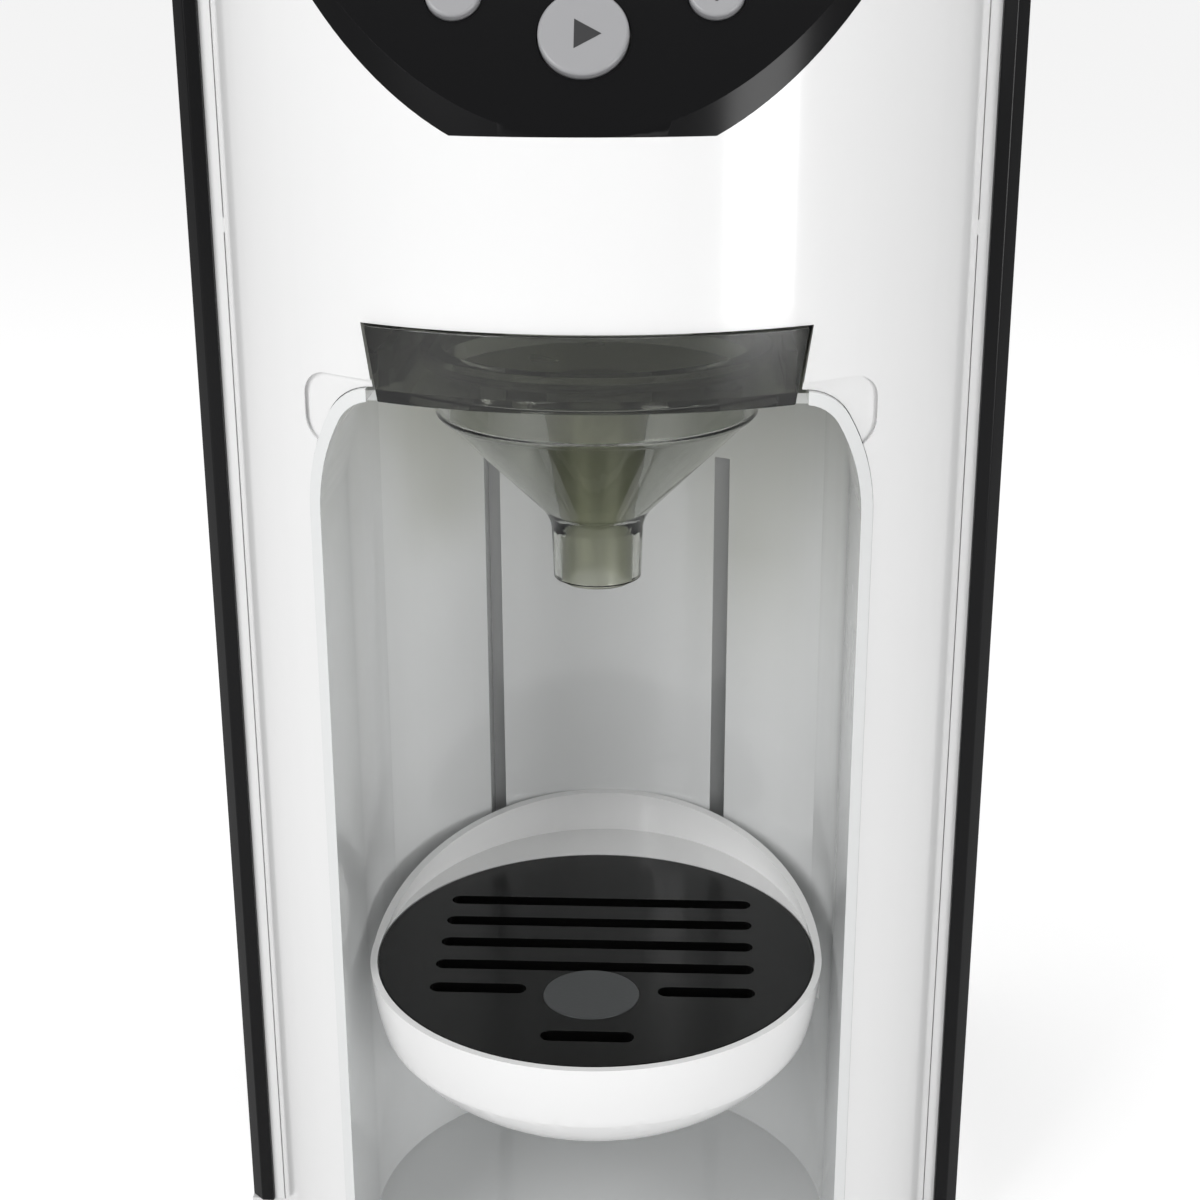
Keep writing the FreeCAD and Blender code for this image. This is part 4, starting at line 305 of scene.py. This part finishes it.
# %% [markdown]
# Each CAD node gets its finish by name. The node's mesh stays as it is; only its material slots
# are filled.

# %% Finish of every node
FINISH = {
    "base_plate": white_satin, "rubber_feet": foot_rubber, "front_fascia": white_gloss,
    "bay_liner": white_liner, "inner_frame": white_gloss, "left_side_panel": black_gloss,
    "right_side_panel": black_gloss, "top_deck": white_gloss, "control_plate": black_gloss,
    "display_window": display_glass, "display_module": black_satin, "console_board": board_green,
    "funnel_drawer": smoke, "funnel": smoke_light, "funnel_nozzle": smoke_olive,
    "bottle_stand": white_gloss,
    "drip_grille": grille_black, "grille_pad": pad_grey, "powder_container": smoke_light,
    "dosing_wheel": white_satin, "stirring_paddle": white_satin, "rotor_shaft": steel,
    "powder_lid": smoke, "lid_seal": silicone, "powder_chute": white_satin, "drive_gear": gear_plastic,
    "motor_pinion": brass, "motor_shaft": steel, "drive_motor": steel, "gearbox_tray": black_satin,
    "rear_housing": white_gloss, "power_inlet": black_satin, "water_tank": smoke_light,
    "tank_lid": black_gloss, "valve_plunger": white_satin, "valve_seal": silicone,
    "tank_socket": black_satin, "water_pump": black_satin, "water_heater": cast_aluminium,
    "main_board": board_green, "inlet_hose": silicone, "supply_hose": silicone,
    "delivery_hose": silicone, "water_nozzle": white_satin, "base_screws": steel,
    "gearbox_screws": steel, "lid_hinge_pins": steel,
}
for name, node in NODES.items():
    finish = FINISH.get(name, button_grey)
    node.data.materials.clear()
    node.data.materials.append(finish)
print("finished", len(NODES), "nodes")

# %% [markdown]
# A CAD mesh is loose triangles with flat shading, which shows as facets in a gloss. A dressed copy
# has its doubles merged, its flat areas dissolved into whole faces, its sharp edges rounded by a
# fine bevel and its curves shaded smooth. It then stands for the node.


# %% Smooth copies of the shells
def dressed(name, bevel, angle=32.0, segments=2):
    """A merged, bevelled and smooth-shaded copy of a CAD node that replaces it."""
    node = NODES[name]
    mesh = node.data.copy()
    piece = bpy.data.objects.new(name + "_skin", mesh)
    scene.collection.objects.link(piece)
    bpy.ops.object.select_all(action="DESELECT")
    piece.select_set(True)
    bpy.context.view_layer.objects.active = piece
    bpy.ops.object.mode_set(mode="EDIT")
    bpy.ops.mesh.select_all(action="SELECT")
    bpy.ops.mesh.remove_doubles(threshold=0.000005)
    bpy.ops.mesh.dissolve_limited(angle_limit=math.radians(0.6))
    bpy.ops.object.mode_set(mode="OBJECT")
    rounding = piece.modifiers.new("edges", "BEVEL")
    rounding.width = bevel
    rounding.segments = segments
    rounding.limit_method = "ANGLE"
    rounding.angle_limit = math.radians(angle)
    rounding.use_clamp_overlap = True
    rounding.harden_normals = False
    bpy.ops.object.modifier_apply(modifier="edges")
    bpy.ops.object.shade_smooth_by_angle(angle=math.radians(angle))
    even = piece.modifiers.new("even", "WEIGHTED_NORMAL")
    even.weight = 90
    even.keep_sharp = True
    bpy.ops.object.modifier_apply(modifier="even")
    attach(piece, node["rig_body"])
    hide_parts(name)
    return piece


SHELLS = ["front_fascia", "bay_liner", "inner_frame", "left_side_panel", "right_side_panel", "top_deck",
          "control_plate", "funnel_drawer", "funnel", "funnel_nozzle", "bottle_stand", "drip_grille",
          "grille_pad", "powder_lid", "powder_container", "water_tank", "tank_lid", "rear_housing",
          "base_plate", "display_window", "start_button", "size_down_button", "size_up_button",
          "temperature_button", "water_only_button", "power_button"]
PLAIN_EDGE = 0.0003
OWN_EDGE = {"front_fascia": 0.00015, "inner_frame": 0.00015, "bay_liner": 0.0008,
            "bottle_stand": 0.0004, "control_plate": 0.00025}
skins = {name: dressed(name, OWN_EDGE.get(name, PLAIN_EDGE)) for name in SHELLS}
print("dressed", len(skins), "shells, faces", sum(len(o.data.polygons) for o in skins.values()))

# %% [markdown]
# Buttons carry printed marks. A mark is a thin raised film, so it can be modelled flat as a simple
# outline, given its thickness by an extrude, and then turned on to its button's face. The widest
# flat face of a button gives the place and the direction.


# %% Faces of the buttons
mark_grey = plastic("mark_grey", (0.03, 0.03, 0.032), 0.45, grain=0.05)
mark_white = plastic("mark_white", (0.75, 0.75, 0.76), 0.45, grain=0.05)
FILM = 0.00006


def outer_face(node, towards=(0, -0.55, 0.83)):
    """The middle and the normal of a node's widest flat area that faces a given way."""
    mesh = NODES[node].data
    lean = Vector(towards).normalized()
    best = max(mesh.polygons, key=lambda face: face.area * max(face.normal.dot(lean), 0) ** 4)
    normal = best.normal.normalized()
    level = best.center.dot(normal)
    low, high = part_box(node)
    middle = (low + high) / 2
    return middle + normal * (level - middle.dot(normal)), normal


def set_on(piece, node):
    """Turn a flat piece made at the origin on to a node's outer face, with its place in its mesh."""
    spot, normal = outer_face(node)
    up = (Vector((0, 0, 1)) - normal * normal.z).normalized()
    turn = Matrix((up.cross(normal), up, normal)).transposed()
    piece.data.transform(Matrix.Translation(spot) @ turn.to_4x4())
    piece.data.update()
    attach(piece, NODES[node]["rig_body"])
    return piece


for name in ("start_button", "size_down_button"):
    spot, normal = outer_face(name)
    print(name, "face at", [round(v, 4) for v in spot], "towards", [round(v, 3) for v in normal])

# %% [markdown]
# Every mark starts as a filled circle: with three corners it is an arrow, stretched it is a bar,
# pulled up at its top it is a drop, and inset with its middle deleted it is a ring.


# %% Flat outlines
def flat_start(name, sides, size, place=(0, 0)):
    """A filled circle of some sides, lying flat at zero height."""
    bpy.ops.object.select_all(action="DESELECT")
    bpy.ops.mesh.primitive_circle_add(vertices=sides, radius=size, fill_type="NGON",
                                      location=(place[0], place[1], 0))
    piece = bpy.context.object
    piece.name = name
    bpy.ops.object.transform_apply(location=True, rotation=True, scale=True)
    return piece


def thicken(piece, thickness=FILM, bevel=0.00002):
    """Extrude a flat outline to a film and round its upper edge."""
    bpy.ops.object.select_all(action="DESELECT")
    piece.select_set(True)
    bpy.context.view_layer.objects.active = piece
    bpy.ops.object.mode_set(mode="EDIT")
    bpy.ops.mesh.select_all(action="SELECT")
    bpy.ops.mesh.extrude_region_move(TRANSFORM_OT_translate={"value": (0, 0, thickness)})
    bpy.ops.mesh.select_all(action="SELECT")
    bpy.ops.mesh.normals_make_consistent(inside=False)
    bpy.ops.object.mode_set(mode="OBJECT")
    edge = piece.modifiers.new("edge", "BEVEL")
    edge.width = bevel
    edge.segments = 1
    edge.limit_method = "ANGLE"
    bpy.ops.object.modifier_apply(modifier="edge")
    return piece


def joined(name, pieces):
    """Several pieces as one."""
    bpy.ops.object.select_all(action="DESELECT")
    for piece in pieces:
        piece.select_set(True)
    bpy.context.view_layer.objects.active = pieces[0]
    if len(pieces) > 1:
        bpy.ops.object.join()
    pieces[0].name = name
    return pieces[0]


def strip(name, half_long, half_wide, place=(0, 0), turned=0.0):
    """A flat bar with round ends."""
    piece = flat_start(name, 24, half_wide)
    for corner in piece.data.vertices:
        corner.co.x += math.copysign(half_long - half_wide, corner.co.x)
    piece.data.transform(Matrix.Translation((*place, 0)) @ Matrix.Rotation(turned, 4, "Z"))
    return thicken(piece)


def ring_arc(name, radius, half_wide, gap, place=(0, 0), sides=48):
    """A flat ring that is open at its top."""
    bpy.ops.object.select_all(action="DESELECT")
    bpy.ops.mesh.primitive_circle_add(vertices=sides, radius=radius, fill_type="NGON")
    piece = bpy.context.object
    piece.name = name
    bpy.ops.object.mode_set(mode="EDIT")
    bpy.ops.mesh.select_all(action="SELECT")
    bpy.ops.mesh.inset(thickness=2 * half_wide)
    bpy.ops.mesh.delete(type="FACE")
    bpy.ops.mesh.select_mode(type="FACE")
    bpy.ops.mesh.select_all(action="DESELECT")
    bpy.ops.object.mode_set(mode="OBJECT")
    for face in piece.data.polygons:
        face.select = math.atan2(abs(face.center.x), face.center.y) < gap
    bpy.ops.object.mode_set(mode="EDIT")
    bpy.ops.mesh.delete(type="FACE")
    bpy.ops.object.mode_set(mode="OBJECT")
    piece.data.transform(Matrix.Translation((*place, 0)))
    return thicken(piece)


print("outline helpers ready")

# %% [markdown]
# The marks themselves are the plain ones that any such machine has: an arrow to start, minus and
# plus for the amount, a thermometer, a drop of water and a power ring.

# %% Printed marks
BAR_LONG = 0.0021
BAR_WIDE = 0.00035
arrow = flat_start("start_mark", 3, 0.0032)
arrow.data.transform(Matrix.Rotation(math.radians(-90), 4, "Z"))
thicken(arrow)
minus = strip("size_down_mark", BAR_LONG, BAR_WIDE)
plus = joined("size_up_mark", [strip("plus_across", BAR_LONG, BAR_WIDE),
                               strip("plus_up", BAR_LONG, BAR_WIDE, turned=math.pi / 2)])

DROP_RADIUS = 0.0017
DROP_BELOW = 0.0006
drop = flat_start("water_mark", 32, DROP_RADIUS, (0, -DROP_BELOW))
for corner in drop.data.vertices:
    rise = max(corner.co.y + DROP_BELOW, 0) / DROP_RADIUS
    corner.co.x *= 1 - 0.85 * rise ** 1.3
    corner.co.y += 0.0014 * rise ** 2
thicken(drop)

bulb = thicken(flat_start("bulb", 24, 0.0010, (0, -0.0016)))
tube = strip("thermometer_tube", BAR_LONG, 0.0005, (0, 0.0003), math.pi / 2)
ticks = [strip("tick_%d" % i, 0.0004, 0.00012, (0.0013, 0.0004 + 0.0007 * i)) for i in range(3)]
thermometer = joined("temperature_mark", [bulb, tube] + ticks)
power = joined("power_mark", [ring_arc("power_ring", 0.0021, 0.00016, math.radians(32)),
                              strip("power_bar", 0.0012, 0.00018, (0, 0.0014), math.pi / 2)])
for piece, node in ((arrow, "start_button"), (minus, "size_down_button"), (plus, "size_up_button"),
                    (drop, "water_only_button"), (thermometer, "temperature_button"),
                    (power, "power_button")):
    set_on(piece, node)
    piece.data.materials.clear()
    piece.data.materials.append(mark_grey)
    print(piece.name, "on", node)

# %% [markdown]
# A water tank has level lines on its side: every second one is longer. Each line is the same flat
# bar as the marks', turned on to the side wall and pressed a hair into it.

# %% Level lines of the tank
LEVELS = 8
LEVEL_STEP = 0.02
LEVEL_FIRST = 0.045
LEVEL_FROM_BACK = 0.052
LONG_LINE = 0.0075
SHORT_LINE = 0.0045
wall_spot = outer_face("water_tank", (1, 0, 0))[0]
tank_low, tank_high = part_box("water_tank")
lines = []
for step in range(LEVELS):
    line = strip("level_%d" % step, LONG_LINE if step % 2 == 0 else SHORT_LINE, 0.0005)
    height = tank_low.z + LEVEL_FIRST + LEVEL_STEP * step
    line.data.transform(Matrix(((0, 0, 1, wall_spot.x - FILM / 3),
                                (1, 0, 0, tank_high.y - LEVEL_FROM_BACK),
                                (0, 1, 0, height), (0, 0, 0, 1))))
    lines.append(line)
level_lines = joined("tank_level_lines", lines)
level_lines.data.materials.clear()
level_lines.data.materials.append(mark_white)
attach(level_lines, NODES["water_tank"]["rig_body"])
print("level lines on x", round(wall_spot.x, 4))
